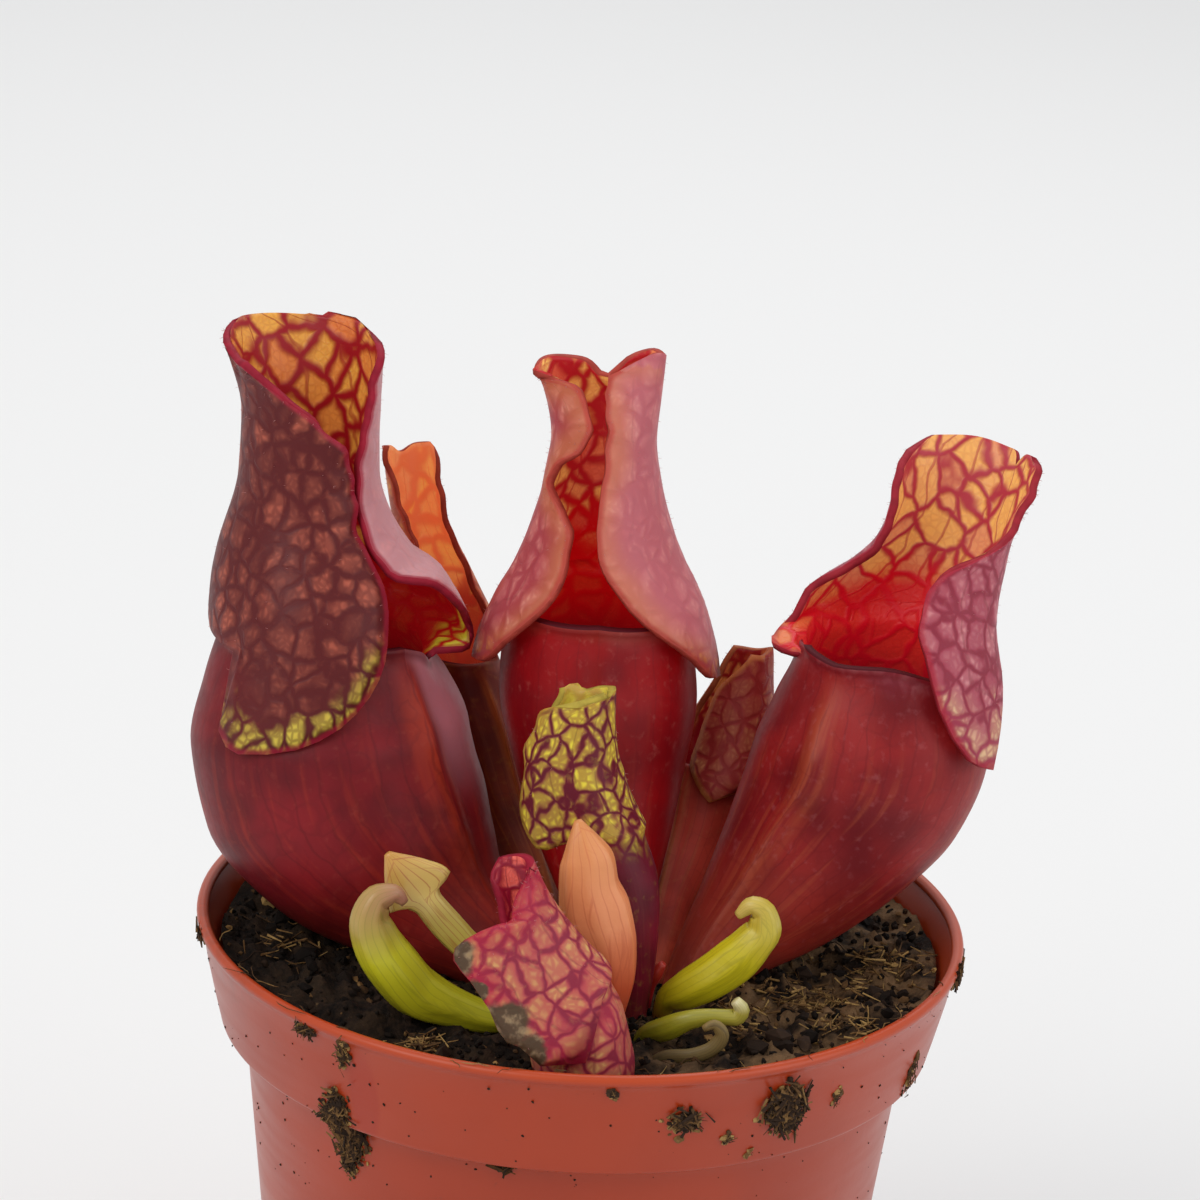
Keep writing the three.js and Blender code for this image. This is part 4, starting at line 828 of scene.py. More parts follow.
def leaf_mesh():
    """An empty mesh with the maps and values that the leaf materials read."""
    mesh = bmesh.new()
    layers = [mesh.verts.layers.float.new(layer) for layer in LAYERS]
    for name in ("skin", "turn"):
        mesh.loops.layers.uv.new(name)
    return mesh, layers


def even_turns(columns, rows):
    """The same even angles for every row, from -180 to 180 degrees."""
    return [[180 * (2 * c / columns - 1) for c in range(columns + 1)] for _ in rows]


def tree_of(points):
    """Finds the nearest of many points quickly."""
    tree = KDTree(len(points))
    for i, point in enumerate(points):
        tree.insert(point, i)
    tree.balance()
    return tree


def pitcher_skin(name):
    """The outside of a pitcher: its tube and hood as two welded grids."""
    sheet = sheets[name]
    table = sheet.table
    front, hood = FRONT_COLUMNS, HOOD_COLUMNS
    total = 2 * front + hood
    heights = [ring[0] for ring in table["rings"]]
    tube_rows = finer([h for h in heights if h <= sheet.lip], TUBE_STEP)
    edge_rows = sorted({row[0] for row in table["right"] + table["left"]})
    hood_rows = [sheet.lip] + finer([h for h in edge_rows if h > sheet.lip], HOOD_STEP)

    def tube_angles(height):
        share = smooth(height, sheet.foot, sheet.lip)
        low, high = -sheet.wrap(height, 0), sheet.wrap(height, 1)
        angles = []
        for i in range(total + 1):
            even = -180 + 360 * i / total
            if i <= front:
                bunched = -180 + (low + 180) * i / front
            elif i <= front + hood:
                bunched = low + (high - low) * (i - front) / hood
            else:
                bunched = high + (180 - high) * (i - front - hood) / front
            angles.append(even + (bunched - even) * share)
        return angles

    def hood_angles(height):
        low, high = -sheet.wrap(height, 0), sheet.wrap(height, 1)
        if height <= sheet.lip:
            return tube_angles(height)[front:front + hood + 1]
        even = [low + (high - low) * i / hood for i in range(hood + 1)]
        halves = [(low if i < hood / 2 else high) * abs(2 * i / hood - 1) for i in range(hood + 1)]
        share = smooth(height, sheet.lip, sheet.lip + 5)
        return [a + (b - a) * share for a, b in zip(even, halves)]

    tube_angle = [tube_angles(height) for height in tube_rows]
    hood_angle = [hood_angles(height) for height in hood_rows]
    tube = [[sheet.point(h, a) for a in row] for h, row in zip(tube_rows, tube_angle)]
    hood_points = [[sheet.point(h, a) for a in row] for h, row in zip(hood_rows, hood_angle)]
    for row, height in zip(hood_points, hood_rows):
        away = smooth(height, sheet.lip, sheet.lip + 2)
        for c in (0, 1, 2, hood - 2, hood - 1, hood):
            wave = noise.noise(Vector((height * 0.45, c // 3, table["front"])))
            spread = 1 - min(c, hood - c) / 3
            row[c] += Vector((wave, -wave, wave * 0.7)) * 0.5 * away * spread

    margin = tree_of([row[0] for row in hood_points[1:]] + [row[-1] for row in hood_points[1:]]
                     + hood_points[-1])
    lip = tree_of(tube[-1][:front + 1] + tube[-1][front + hood:])

    def tube_notes(row, column):
        return sheet.rise(tube_rows[row]), 0.0, min(lip.find(tube[row][column])[2], FAR), 0.0

    def hood_notes(row, column):
        point, height = hood_points[row][column], hood_rows[row]
        turn = [place[0] for place in hood_map[row]]
        ends = min(turn[column] - turn[0], turn[-1] - turn[column])
        edge = margin.find(point)[2] if row else MID_EDGE
        if ends > 3 * edge + 2:
            edge = ends
        drooped = smooth(height - point.z, 1.5, 7)
        in_hood = smooth(height, sheet.lip, sheet.lip + 1)
        return sheet.rise(height), in_hood, min(edge, FAR), drooped

    mesh, layers = leaf_mesh()
    tube_map = measured(tube, total // 2)
    hood_map = measured(hood_points, hood // 2,
                        [place[1] for place in tube_map[-1][front:front + hood + 1]])
    shape_grid(mesh, tube, tube_map, tube_angle, tube_notes, layers)
    shape_grid(mesh, hood_points, hood_map, even_turns(hood, hood_rows), hood_notes, layers)
    bmesh.ops.remove_doubles(mesh, verts=mesh.verts, dist=0.005 * MM)
    foot = [edge for edge in mesh.edges if edge.is_boundary
            and all(abs(v.co.z - sheet.foot * MM) < 0.01 * MM for v in edge.verts)]
    bmesh.ops.contextual_create(mesh, geom=foot)
    mesh.normal_update()
    lowest = min(mesh.faces, key=lambda face: face.calc_center_median().z)
    if lowest.normal.z > 0:
        lowest.normal_flip()
    half_way = (sheet.foot + sheet.lip) / 2
    belly = sheet.point(half_way, 90) * MM
    side = min(mesh.faces, key=lambda face: (face.calc_center_median() - belly).length)
    x, y = sheet.row(half_way)[0][:2]
    axis = Vector((x * MM, y * MM, belly.z))
    if side.normal.dot(side.calc_center_median() - axis) < 0:
        bmesh.ops.reverse_faces(mesh, faces=[face for face in mesh.faces if face is not lowest])
    return mesh


def add_piece(name, mesh, finishes, replaces=None, smooth_faces=True):
    """Hands a mesh over to the frame as a piece that stands still."""
    for face in mesh.faces:
        face.smooth = smooth_faces
    data = mesh_data(name, mesh)
    piece = placed(name, data)
    for finish in finishes:
        data.materials.append(finish.material)
    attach(piece, "root")
    if replaces:
        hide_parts(replaces)
    return piece


# %% [markdown]
# ## The colours of a pitcher
# The outside of the tube is deep crimson with long faint veins, and the wing down its front is
# browner. The hood is paler: each small field between the veins, an areole, is a little window
# that lets light through, and it looks pink from outside and yellow from inside. A Voronoi
# pattern, which divides space into cells round scattered points, looks much like this net
# where the skin cuts it. It is stretched and bent a little, and the main veins run along the
# leaf.

# %% The net of veins
class Skin:
    """The values that all the leaf materials share."""

    def __init__(self, name):
        self.finish = Finish(name)
        f = self.finish
        flat = f.node("ShaderNodeUVMap", {"uv_map": "skin"})
        self.u, self.v = f.part(flat, 0), f.part(flat, 1)
        self.across = f.part(f.node("ShaderNodeUVMap", {"uv_map": "turn"}), 0)
        self.spot = f.place()
        self.rise, self.hood, self.edge, self.tip = (f.attribute(layer) for layer in LAYERS)
        self.keel = ((1.0 - self.across.size()).rise(0.075, 0.0) * self.rise.rise(0.0, 0.3)
                     * self.rise.rise(1.0, 0.85))
        self.rough = f.noise(self.spot, 900.0, 3.0)
        self.broad = f.noise(self.spot, 110.0, 2.0)
        around = self.across * math.pi
        self.streak = f.noise(self.vector(around.sine() * 11.0, around.cosine() * 11.0,
                                          self.v / 16.0), 1.0, 3.0)

    def vector(self, x, y, z=0.0):
        return self.finish.node("ShaderNodeCombineXYZ", {}, {0: x, 1: y, 2: z})

    def net(self, width, shift=0.0, bend=1.0):
        """Distance from the net's lines in shares of a cell, and a random tone for each cell."""
        f = self.finish
        wave = f.noise(self.spot, 230.0, output=1)
        bent = f.node("ShaderNodeVectorMath", {"operation": "MULTIPLY_ADD"},
                      {0: wave, 1: (bend * 3.2 * MM,) * 3, 2: self.spot})
        cells = 1 / MM / width
        place = f.mapping(bent, (cells, cells, 0.86 / MM / width), shift)
        lines = f.node("ShaderNodeTexVoronoi", {"feature": "DISTANCE_TO_EDGE"},
                       {"Vector": place, "Scale": 1.0})
        colour = f.node("ShaderNodeTexVoronoi", {"feature": "F1"}, {"Vector": place, "Scale": 1.0},
                        output=1)
        return lines, f.part(colour, 0)

    def long_veins(self, count, bend=0.12, thick=0.2):
        """1 on lines that run along the leaf, 0 between them."""
        f = self.finish
        wave = f.noise(self.vector(self.u / 9.0, self.v / 6.0), 1.0, 2.0)
        place = (self.across + (wave - 0.5) * bend) * (count * math.pi)
        return place.sine().size().rise(thick, thick * 0.25)


def near(f, spot, place, reach):
    """1 close to a place in millimetres, fading to 0 at the given reach."""
    away = f.node("ShaderNodeVectorMath", {"operation": "DISTANCE"},
                  {0: spot, 1: tuple(n * MM for n in place)}, output=1)
    return (away / MM).rise(reach, reach * 0.7)


def outside_finish(name, tube, tube_dark, base, ground, pale, tip_colour, rim, cell=2.6,
                   clear=0.35, vein_share=0.35, rust=0.8, vein_width=0.34, sheen_share=0.0, band=0.0,
                   net_from=0.93, sheen="dc9098", dead=(), flank_sheen=None, band_colour=None,
                   patchy=0.75):
    """The skin of a pitcher as it is seen from outside."""
    skin = Skin(name)
    f = skin.finish
    lines, tone = skin.net(cell)
    dots = skin.net(cell * 0.34, 3.3, 0.4)[0]
    vein = lines.rise(vein_width * 0.5, vein_width * 0.1)
    main = skin.long_veins(6, 0.16, 0.2)
    streak = skin.streak
    # the tube: a dark red wash with long streaks and a browner wing and foot
    wash = f.mix(skin.broad.rise(0.25, 0.75), paint(tube), paint(tube_dark))
    wash = f.mix(streak.rise(0.5, 0.72) * skin.rise.rise(0.95, 0.5) * 0.35, wash, paint(base))
    wash = f.mix(skin.rise.rise(0.4, 0.0) * 0.45, wash, paint(base))
    wash = f.mix(skin.keel * streak.rise(0.3, 0.55) * rust, wash, paint(base))
    wash = f.mix(skin.long_veins(15, 0.05, 0.22) * 0.34, wash, paint(tube_dark))
    wash = f.mix(vein * tone.rise(0.3, 0.8) * 0.2, wash, paint(tube_dark))
    # painted sheen: one flank of the tube is washed pale pink where a soft shine falls
    if flank_sheen:
        side = skin.across.rise(0.5, 0.66) * skin.across.rise(1.0, 0.93)
        wash = f.mix(side * skin.rise.rise(0.35, 0.7) * 0.5, wash, paint(flank_sheen))
    # the hood: pale areoles, each made of small dots, in a darker net
    areole = lines.rise(vein_width * 0.1, vein_width) * (0.45 + dots.rise(0.05, 0.4) * 0.55)
    areole = areole * (tone.rise(-0.2, 0.8) * patchy + (1.0 - patchy))
    areole = areole * (skin.broad.rise(0.3, 0.6) * (1.0 - clear) + clear)
    net = f.mix(areole, paint(ground), paint(pale))
    net = f.mix((main * 0.3).greatest(vein * vein_share), net, paint(tube_dark))
    # painted sheen: one side of the hood is washed pale pink where light glances off it
    if sheen_share:
        net = f.mix(skin.across.rise(0.2, 0.75) * sheen_share, net, paint(sheen))
    if band:
        net = f.mix((skin.edge + (skin.broad - 0.5) * 4.0).rise(4.4, 0.4) * band, net,
                    paint(band_colour or tip_colour))
    lobe = (skin.tip.rise(0.4, 1.0) * (skin.edge + (tone - 0.5) * 2.4).rise(3.8, 0.8)).limit()
    cream = f.mix(lines.rise(0.02, 0.2) * (0.5 + dots.rise(0.03, 0.3) * 0.5), paint(ground),
                  paint(tip_colour))
    net = f.mix(lobe, net, cream)
    net = f.mix(skin.edge.rise(0.9, 0.25) * skin.hood * 0.8, net, paint(rim))
    for place, reach in dead:
        ragged = (f.noise(skin.spot, 420.0, 3.0) - 0.5) * 3.0 + reach
        withered = f.mix(skin.rough.rise(0.45, 0.72), paint("54402f"), paint("8c745a"))
        net = f.mix(near(f, skin.spot, place, ragged), net, withered)
    start = skin.rise + (skin.broad - 0.5) * 0.12
    colour = f.mix(start.rise(net_from, net_from + 0.17), wash, net)
    colour = f.mix(skin.edge.rise(1.5, 0.5) * (1.0 - skin.hood) * 0.6, colour, paint(tube_dark))
    colour = f.mix(skin.rough.rise(0.55, 0.8) * 0.12, colour, paint(pale))
    f.set(base_color=colour, roughness=skin.rough.rise(0.2, 0.9) * 0.12 + 0.42,
          specular_ior_level=0.2, coat_weight=0.02, coat_roughness=0.3,
          subsurface_weight=0.12, subsurface_radius=(1.0, 0.2, 0.1), subsurface_scale=0.0015)
    relief = skin.hood * (0.0 - vein) * 0.5 + streak * 0.2 + areole * skin.hood * 0.4
    f.set(normal=f.bump(relief + skin.rough * 0.35, 0.0002, 0.45))
    return f


def inside_finish(name, cell_colour, cell_red, vein_colour, throat, cell=3.2, painted_glow=0.22,
                  tip_colour=None, vein_width=0.24):
    """A hood's inside, lit by a painted glow, its darker red throat and painted shade deep in the
    tube.
    """
    skin = Skin(name)
    f = skin.finish
    lines, tone = skin.net(cell, 1.7, 0.8)
    dots = skin.net(cell * 0.24, 5.1, 0.3)[0]
    main = skin.long_veins(4, 0.2, 0.2)
    field = lines.rise(vein_width * 0.12, vein_width) * (0.84 + dots.rise(0.0, 0.25) * 0.16)
    field = field * (1.0 - main * 0.6)
    gold = f.mix(tone.rise(0.35, 1.0), paint(cell_colour), paint(cell_red))
    colour = f.mix(field, paint(vein_colour), gold)
    deep = (skin.rise + (skin.broad - 0.5) * 0.3 + (field - 0.5) * 0.08).rise(1.42, 1.16)
    colour = f.mix(deep * 0.95, colour, paint(throat))
    # painted shade: the inside of the tube below the lip darkens to a near-black red
    colour = f.mix(skin.rise.rise(0.98, 0.75), colour, paint("5a0810"))
    if tip_colour:
        low = skin.rise.rise(1.22, 1.08) * skin.hood
        low = low * (skin.edge + (tone - 0.5) * 2.0).rise(4.2, 1.6)
        colour = f.mix(low * lines.rise(0.02, 0.2), colour, paint(tip_colour))
    colour = f.mix(skin.edge.rise(0.9, 0.2) * skin.hood * 0.7, colour, paint(vein_colour))
    # the emission is a painted glow: it stands in for light that shines through the hood's areoles
    f.set(base_color=colour, roughness=0.42, specular_ior_level=0.28, coat_weight=0.08,
          coat_roughness=0.2, subsurface_weight=0.2, subsurface_radius=(1.0, 0.35, 0.15),
          subsurface_scale=0.002, emission_color=colour, emission_strength=painted_glow)
    f.set(normal=f.bump(field * -1.0 + skin.rough * 0.2, 0.0003, 0.6))
    return f


def edge_finish(name, colour, lip_colour="50101a"):
    """The thin edge of a leaf: dark round the mouth, brighter along the hood."""
    f = Finish(name)
    rough = f.noise(f.place(), 700.0, 3.0)
    bare = f.mix(f.attribute("hood").rise(0.1, 0.6), paint(lip_colour), paint(colour))
    f.set(base_color=f.mix(rough.rise(0.35, 0.7) * 0.3, bare, paint(lip_colour)), roughness=0.6,
          specular_ior_level=0.12)
    return f


OUTSIDES = {
    "leaf_left_pitcher": outside_finish(
        "left_outside", "861820", "580c16", "a83420", "5c1e1e", "b45c48", "d8c04c", "a02038",
        cell=2.7, clear=0.3, vein_share=0.25, sheen_share=0.65, sheen="e0a0a6", flank_sheen="d88c98"),
    "leaf_middle_pitcher": outside_finish(
        "middle_outside", "a0060e", "780610", "a03020", "b04850", "dc9488", "cc7c48", "b8443c",
        cell=2.6, clear=0.7, vein_share=0.2, rust=0.2, vein_width=0.42, sheen_share=0.4, band=0.5,
        sheen="d4848e"),
    "leaf_right_pitcher": outside_finish(
        "right_outside", "962020", "6a0e16", "a84c30", "a03c50", "cc8488", "dcb48c", "b02c40",
        cell=2.6, clear=0.8, vein_share=0.4, vein_width=0.26, rust=0.6),
    "leaf_rear_left_pitcher": outside_finish(
        "rear_left_outside", "a03c1c", "641a14", "b8602c", "cc6440", "eca848", "e8b050", "bc4430",
        cell=2.6),
    "leaf_rear_right_pitcher": outside_finish(
        "rear_right_outside", "cc4434", "942820", "b46840", "a83434", "d89060", "e0a860", "cc7c44",
        cell=2.2, clear=0.5, vein_share=0.4, vein_width=0.25),
    "leaf_young_pitcher": outside_finish(
        "young_outside", "84102c", "54081c", "8c4030", "7c1c30", "e0cc40", "e0d848", "b89038",
        cell=2.5, clear=1.0, vein_share=0.7, rust=0.3, vein_width=0.2, patchy=0.25),
    "leaf_front_pitcher": outside_finish(
        "front_outside", "a81c34", "641030", "b05830", "b03a4a", "d8b46c", "d0a850", "a81434",
        cell=2.7, clear=0.45, vein_share=0.6, rust=0.3, vein_width=0.22, net_from=0.35,
        band=0.6, band_colour="b01c3c", patchy=0.5,
        dead=[((-7.6, -41.0, 81.6), 3.4), ((-12.9, -40.3, 88.9), 2.2), ((-10.6, -41.0, 85.6), 1.4),
              ((-4.6, -41.2, 78.6), 2.2)]),
}
INSIDES = {
    "leaf_left_pitcher": inside_finish("left_inside", "d49840", "cc7038", "8c0c18", "a80c14", 3.4,
                                       tip_colour="c0b430"),
    "leaf_middle_pitcher": inside_finish("middle_inside", "e0a858", "cc5440", "a81820", "c0060c",
                                         3.0, 0.3),
    "leaf_right_pitcher": inside_finish("right_inside", "dca458", "d08860", "a02c38", "c00a1c",
                                        3.8, 0.32, "c86c3c", 0.15),
    "leaf_rear_left_pitcher": inside_finish("rear_left_inside", "f4c050", "e49058", "dc7444",
                                            "a83020", 3.4, 0.3),
    "leaf_rear_right_pitcher": inside_finish("rear_right_inside", "c07840", "a04028", "841818",
                                             "7c1018", 2.4),
    "leaf_young_pitcher": inside_finish("young_inside", "ccc044", "c8b848", "b09040", "a06838",
                                        3.0),
    "leaf_front_pitcher": inside_finish("front_inside", "d45c50", "c03c40", "841028", "981020",
                                        1.9),
}
EDGES = {name: edge_finish(name.replace("leaf_", "") + "_edge", colour) for name, colour in {
    "leaf_left_pitcher": "9c2034", "leaf_middle_pitcher": "b4483c", "leaf_right_pitcher": "a42c38",
    "leaf_rear_left_pitcher": "a8402c", "leaf_rear_right_pitcher": "b0603c",
    "leaf_young_pitcher": "b8a444", "leaf_front_pitcher": "9c1c34"}.items()}
print(len(bpy.data.materials), "materials so far")

# %% [markdown]
# ## The pitchers
# Each pitcher is built from its two grids and then thickened inwards to 0.9 mm, the thickness
# in the CAD model, or a little less for the two small ones at the back. Thickening comes last,
# so that the inside and the edge can have their own materials: the inside of a hood is yellow
# and the outside pink. Short fine hairs grow on the outside, most of them by the free edge.

# %% The pitchers
PITCHER_SLOTS = {
    "leaf_left_pitcher": "pitcher_leaf", "leaf_middle_pitcher": "pitcher_leaf",
    "leaf_right_pitcher": "pitcher_leaf", "leaf_rear_left_pitcher": "rear_leaf",
    "leaf_rear_right_pitcher": "rear_leaf", "leaf_young_pitcher": "young_leaf",
    "leaf_front_pitcher": "front_leaf",
}
BLADE, REAR_BLADE = 0.9, 0.7
HAIRS = {"pitcher_leaf": 300, "front_leaf": 150}
FEW_HAIRS = 60
HAIR_FOOT, HAIR_END = 0.025, 0.006


def pointing(way):
    """The turn that points a shape's own z axis along a way."""
    return way.to_track_quat("Z", "Y").to_matrix().to_4x4()


hairs = bmesh.new()


def grow_hairs(skin, count):
    """Sets short fine hairs on the outside of a hood, most of them by its free edge."""
    hood, edge = (skin.verts.layers.float[layer] for layer in ("hood", "edge"))
    places = [face for face in skin.faces if all(v[hood] > 0.5 for v in face.verts)]
    weights = [1.0 + 5.0 * (face.verts[0][edge] < 1.2) for face in places]
    for face in rng.choices(places, weights, k=count):
        away = (face.normal + Vector([rng.gauss(0, 0.35) for _ in range(3)])).normalized()
        length = rng.uniform(0.25, 0.5)
        middle = face.calc_center_median() + away * length * 0.5 * MM
        bmesh.ops.create_cone(hairs, segments=3, radius1=HAIR_FOOT * MM, radius2=HAIR_END * MM,
                              depth=length * MM,
                              matrix=Matrix.Translation(middle) @ pointing(away))


for name in PITCHERS:
    mesh = pitcher_skin(name)
    faces = len(mesh.faces)
    grow_hairs(mesh, HAIRS.get(PITCHER_SLOTS[name], FEW_HAIRS))
    piece = add_piece(name.replace("leaf_", "") + "_skin", mesh,
                      [OUTSIDES[name], INSIDES[name], EDGES[name]], name)
    thick = piece.modifiers.new("blade", "SOLIDIFY")
    thick.thickness = (REAR_BLADE if "rear" in name else BLADE) * MM
    thick.offset = -1
    thick.use_even_offset = False
    thick.material_offset = 1
    thick.material_offset_rim = 2
    print(name, faces, "faces")
hair_finish = Finish("leaf_hairs")
hair_finish.set(base_color=hair_finish.mix(hair_finish.noise(hair_finish.place(), 300.0),
                                           paint("cc9490"), paint("b86c6c")), roughness=0.6)
add_piece("leaf_hairs", hairs, [hair_finish])

# %% [markdown]
# ## The closed leaves' skins
# A closed leaf is a rolled grid too, set square to its line. Its ends are closed, and fine
# grooves run along it.

# %% The closed leaves
def closed_leaf(leaf):
    """The skin of a leaf that hasn't opened, as one rolled grid with closed ends."""
    columns = BUD_COLUMNS
    line = [Vector(row[:3]) for row in leaf["line"]]
    knots = [0.0]
    for a, b in zip(line, line[1:]):
        knots.append(knots[-1] + max((b - a).length, 0.8))
    read = read_table([[knot] + row for knot, row in zip(knots, leaf["line"])])
    facing = math.radians(leaf["front"])
    level = Vector((math.cos(facing), math.sin(facing), 0))
    rows = finer(knots, BUD_STEP)
    points = []
    for place in rows:
        x, y, z, width, depth = read(place)
        along = (Vector(read(place + 0.4)[:3]) - Vector(read(place - 0.4)[:3])).normalized()
        if place == 0:
            along = Vector((0, 0, 1))
        forward = (level - along * level.dot(along)).normalized()
        sideways = along.cross(forward)
        ring = []
        for c in range(columns + 1):
            around = math.radians(-180 + 360 * c / columns)
            spoke = forward * (-math.cos(around) * depth) + sideways * (math.sin(around) * width)
            groove = 0.05 * math.cos(around * 7) * smooth(width, 0.5, 2)
            ring.append(Vector((x, y, z)) + spoke * (1 - groove))
        points.append(ring)

    mesh, layers = leaf_mesh()
    shape_grid(mesh, points, measured(points, columns // 2), even_turns(columns, rows),
               lambda row, _: (rows[row] / knots[-1], 0.0, MID_EDGE, 0.0), layers)
    bmesh.ops.remove_doubles(mesh, verts=mesh.verts, dist=0.002 * MM)
    ends = [edge for edge in mesh.edges if edge.is_boundary]
    bmesh.ops.holes_fill(mesh, edges=ends, sides=0)
    bmesh.ops.recalc_face_normals(mesh, faces=mesh.faces)
    return mesh


def ramp_finish(name, stops, vein_colour, veins=0.3, roughness=0.4):
    """Colours along the leaf, from its foot to its tip, with faint long veins."""
    skin = Skin(name)
    f = skin.finish
    place = skin.rise + (skin.broad - 0.5) * 0.2
    streak = f.noise(skin.vector(skin.u / 0.7, skin.v / 9.0), 1.0, 2.0)
    lines = skin.long_veins(9, 0.06, 0.3)
    colour = f.mix((lines * veins).greatest(streak.rise(0.55, 0.7) * veins), f.ramp(stops, place),
                   paint(vein_colour))
    f.set(base_color=colour, roughness=roughness, specular_ior_level=0.5, coat_weight=0.1,
          coat_roughness=0.3)
    f.set(normal=f.bump(skin.rough, 0.00015, 0.4))
    return f


# each leaf's slot, colours from foot to tip, colour of its veins, their strength and roughness
CLOSED_LOOKS = {
    "leaf_salmon_bud": ["bud_leaf", [(0.0, "8c2a20"), (0.3, "d85c38"), (0.6, "f09866"),
                                     (1.0, "d88c50")], "c45438", 0.35],
    "leaf_green_left": ["green_leaf", [(0.0, "8a2830"), (0.2, "b0b01e"), (0.7, "ccc822"),
                                       (0.8, "b09c38"), (1.0, "b07860")], "74781a"],
    "leaf_arrow": ["pale_leaf", [(0.0, "a08830"), (0.4, "c4b844"), (0.75, "dcc470"),
                                 (1.0, "cc9848")], "a83a30", 0.55],
    "leaf_green_right": ["green_leaf", [(0.0, "a0482a"), (0.15, "b4a814"), (0.6, "d0c41c"),
                                        (0.85, "c0a840"), (1.0, "dcc068")], "7c7410"],
    "leaf_green_low": ["green_leaf", [(0.0, "60641a"), (0.5, "98941e"), (0.88, "b0a440"),
                                      (1.0, "e4dcb0")], "60641c"],
    "leaf_dry_curl": ["dry_leaf", [(0.0, "4a3c20"), (0.5, "6e5c30"), (1.0, "8a7440")], "3a2c1c",
                      0.5, 0.7],
    "leaf_red_bud": ["red_leaf", [(0.0, "701018"), (0.5, "b01c20"), (1.0, "c83828")], "801018"],
}
for name, leaf in CLOSED_LEAVES.items():
    slot, *look = CLOSED_LOOKS[name]
    plain_name = name.replace("leaf_", "")
    finish = ramp_finish(plain_name, *look)
    piece = add_piece(plain_name + "_skin", closed_leaf(leaf), [finish], name)
    print(name, len(piece.data.polygons), "faces")

# %% [markdown]
# ## The pot
# A nursery pot is moulded from thin plastic. Its section is drawn once, as a line from the
# middle of the underside, round the rim bead and back to the middle of the floor. Turned once
# round the axis it gives the whole pot. Eight drain holes are cut through the floor.

# %% The pot's section
RIM_RADIUS, BEAD_RADIUS, POT_HEIGHT = 45.0, 0.7, 78.0
COLLAR_HEIGHT, COLLAR_FOOT_RADIUS = 13.2, 42.0
BODY_TOP_RADIUS, BODY_FOOT_RADIUS = 39.1, 32.0
WALL, FOOT_RING_WIDTH, FLOOR_LIFT, FLOOR_THICKNESS = 1.1, 3.0, 1.0, 1.4
CENTRE_PAD_RADIUS, DRAIN_HOLES, DRAIN_RADIUS, DRAIN_RING_RADIUS = 12.0, 8, 3.0, 20.5
SOIL_LEVEL, SOIL_GAP = 73.0, 0.45
FLOOR_TOP = FLOOR_LIFT + FLOOR_THICKNESS
COLLAR_FOOT = POT_HEIGHT - COLLAR_HEIGHT


def body_radius(z):
    """The outside of the tapered body at a height."""
    return BODY_FOOT_RADIUS + (BODY_TOP_RADIUS - BODY_FOOT_RADIUS) * z / COLLAR_FOOT


def collar_radius(z):
    """The outside of the rim collar at a height."""
    rise = (z - COLLAR_FOOT) / COLLAR_HEIGHT
    return COLLAR_FOOT_RADIUS + (RIM_RADIUS - COLLAR_FOOT_RADIUS) * rise


def arc(centre, radius, start, end, count):
    """Points of a round corner, as angles from outwards up."""
    angles = [math.radians(start + (end - start) * i / count) for i in range(count + 1)]
    return [(centre[0] + radius * math.cos(around), centre[1] + radius * math.sin(around))
            for around in angles]


foot_inside = BODY_FOOT_RADIUS - FOOT_RING_WIDTH
section = [(0, 0), (CENTRE_PAD_RADIUS, 0), (CENTRE_PAD_RADIUS + 0.6, FLOOR_LIFT),
           (foot_inside - 0.6, FLOOR_LIFT), (foot_inside, 0)]
section += arc((BODY_FOOT_RADIUS - 0.8, 0.8), 0.8, -90, 0, 4)
section += [(body_radius(z), z) for z in (4, 20, 40, 55, 62)]
section += [(body_radius(COLLAR_FOOT - 1.2), COLLAR_FOOT - 1.2)]
section += arc((BODY_TOP_RADIUS + 0.9, COLLAR_FOOT - 0.9), 0.9, 180, 90, 4)
section += arc((COLLAR_FOOT_RADIUS - 0.6, COLLAR_FOOT + 0.6), 0.6, -90, 0, 4)
section += [(collar_radius(z) - 0.1, z) for z in (COLLAR_FOOT + 3, COLLAR_FOOT + 8)]
section += [(collar_radius(POT_HEIGHT - 2) - 0.25, POT_HEIGHT - 2)]
section += arc((RIM_RADIUS - BEAD_RADIUS, POT_HEIGHT - BEAD_RADIUS), BEAD_RADIUS, -60, 240, 14)
section += [(collar_radius(POT_HEIGHT - 3) - WALL - 0.25, POT_HEIGHT - 3),
            (COLLAR_FOOT_RADIUS - WALL, COLLAR_FOOT + WALL + 0.6),
            (COLLAR_FOOT_RADIUS - WALL - 0.6, COLLAR_FOOT + WALL),
            (BODY_TOP_RADIUS - WALL, COLLAR_FOOT + WALL - 0.4),
            (body_radius(FLOOR_TOP + 1) - WALL, FLOOR_TOP + 1),
            (body_radius(FLOOR_TOP) - WALL - 1, FLOOR_TOP), (0, FLOOR_TOP)]


def turned(section, steps):
    """A section of radius and height turned once round the axis."""
    mesh = bmesh.new()
    points = [mesh.verts.new(Vector((radius, 0, z)) * MM) for radius, z in section]
    edges = [mesh.edges.new(pair) for pair in zip(points, points[1:])]
    bmesh.ops.spin(mesh, geom=points + edges, cent=(0, 0, 0), axis=(0, 0, 1),
                   angle=math.tau, steps=steps, use_merge=True)
    bmesh.ops.remove_doubles(mesh, verts=mesh.verts, dist=0.01 * MM)
    bmesh.ops.recalc_face_normals(mesh, faces=mesh.faces)
    return mesh


def frozen(piece):
    """The piece with its modifiers made part of its mesh."""
    bpy.context.view_layer.update()
    seen = piece.evaluated_get(bpy.context.evaluated_depsgraph_get())
    made = bpy.data.meshes.new_from_object(seen)
    piece.modifiers.clear()
    piece.data = made
    return piece
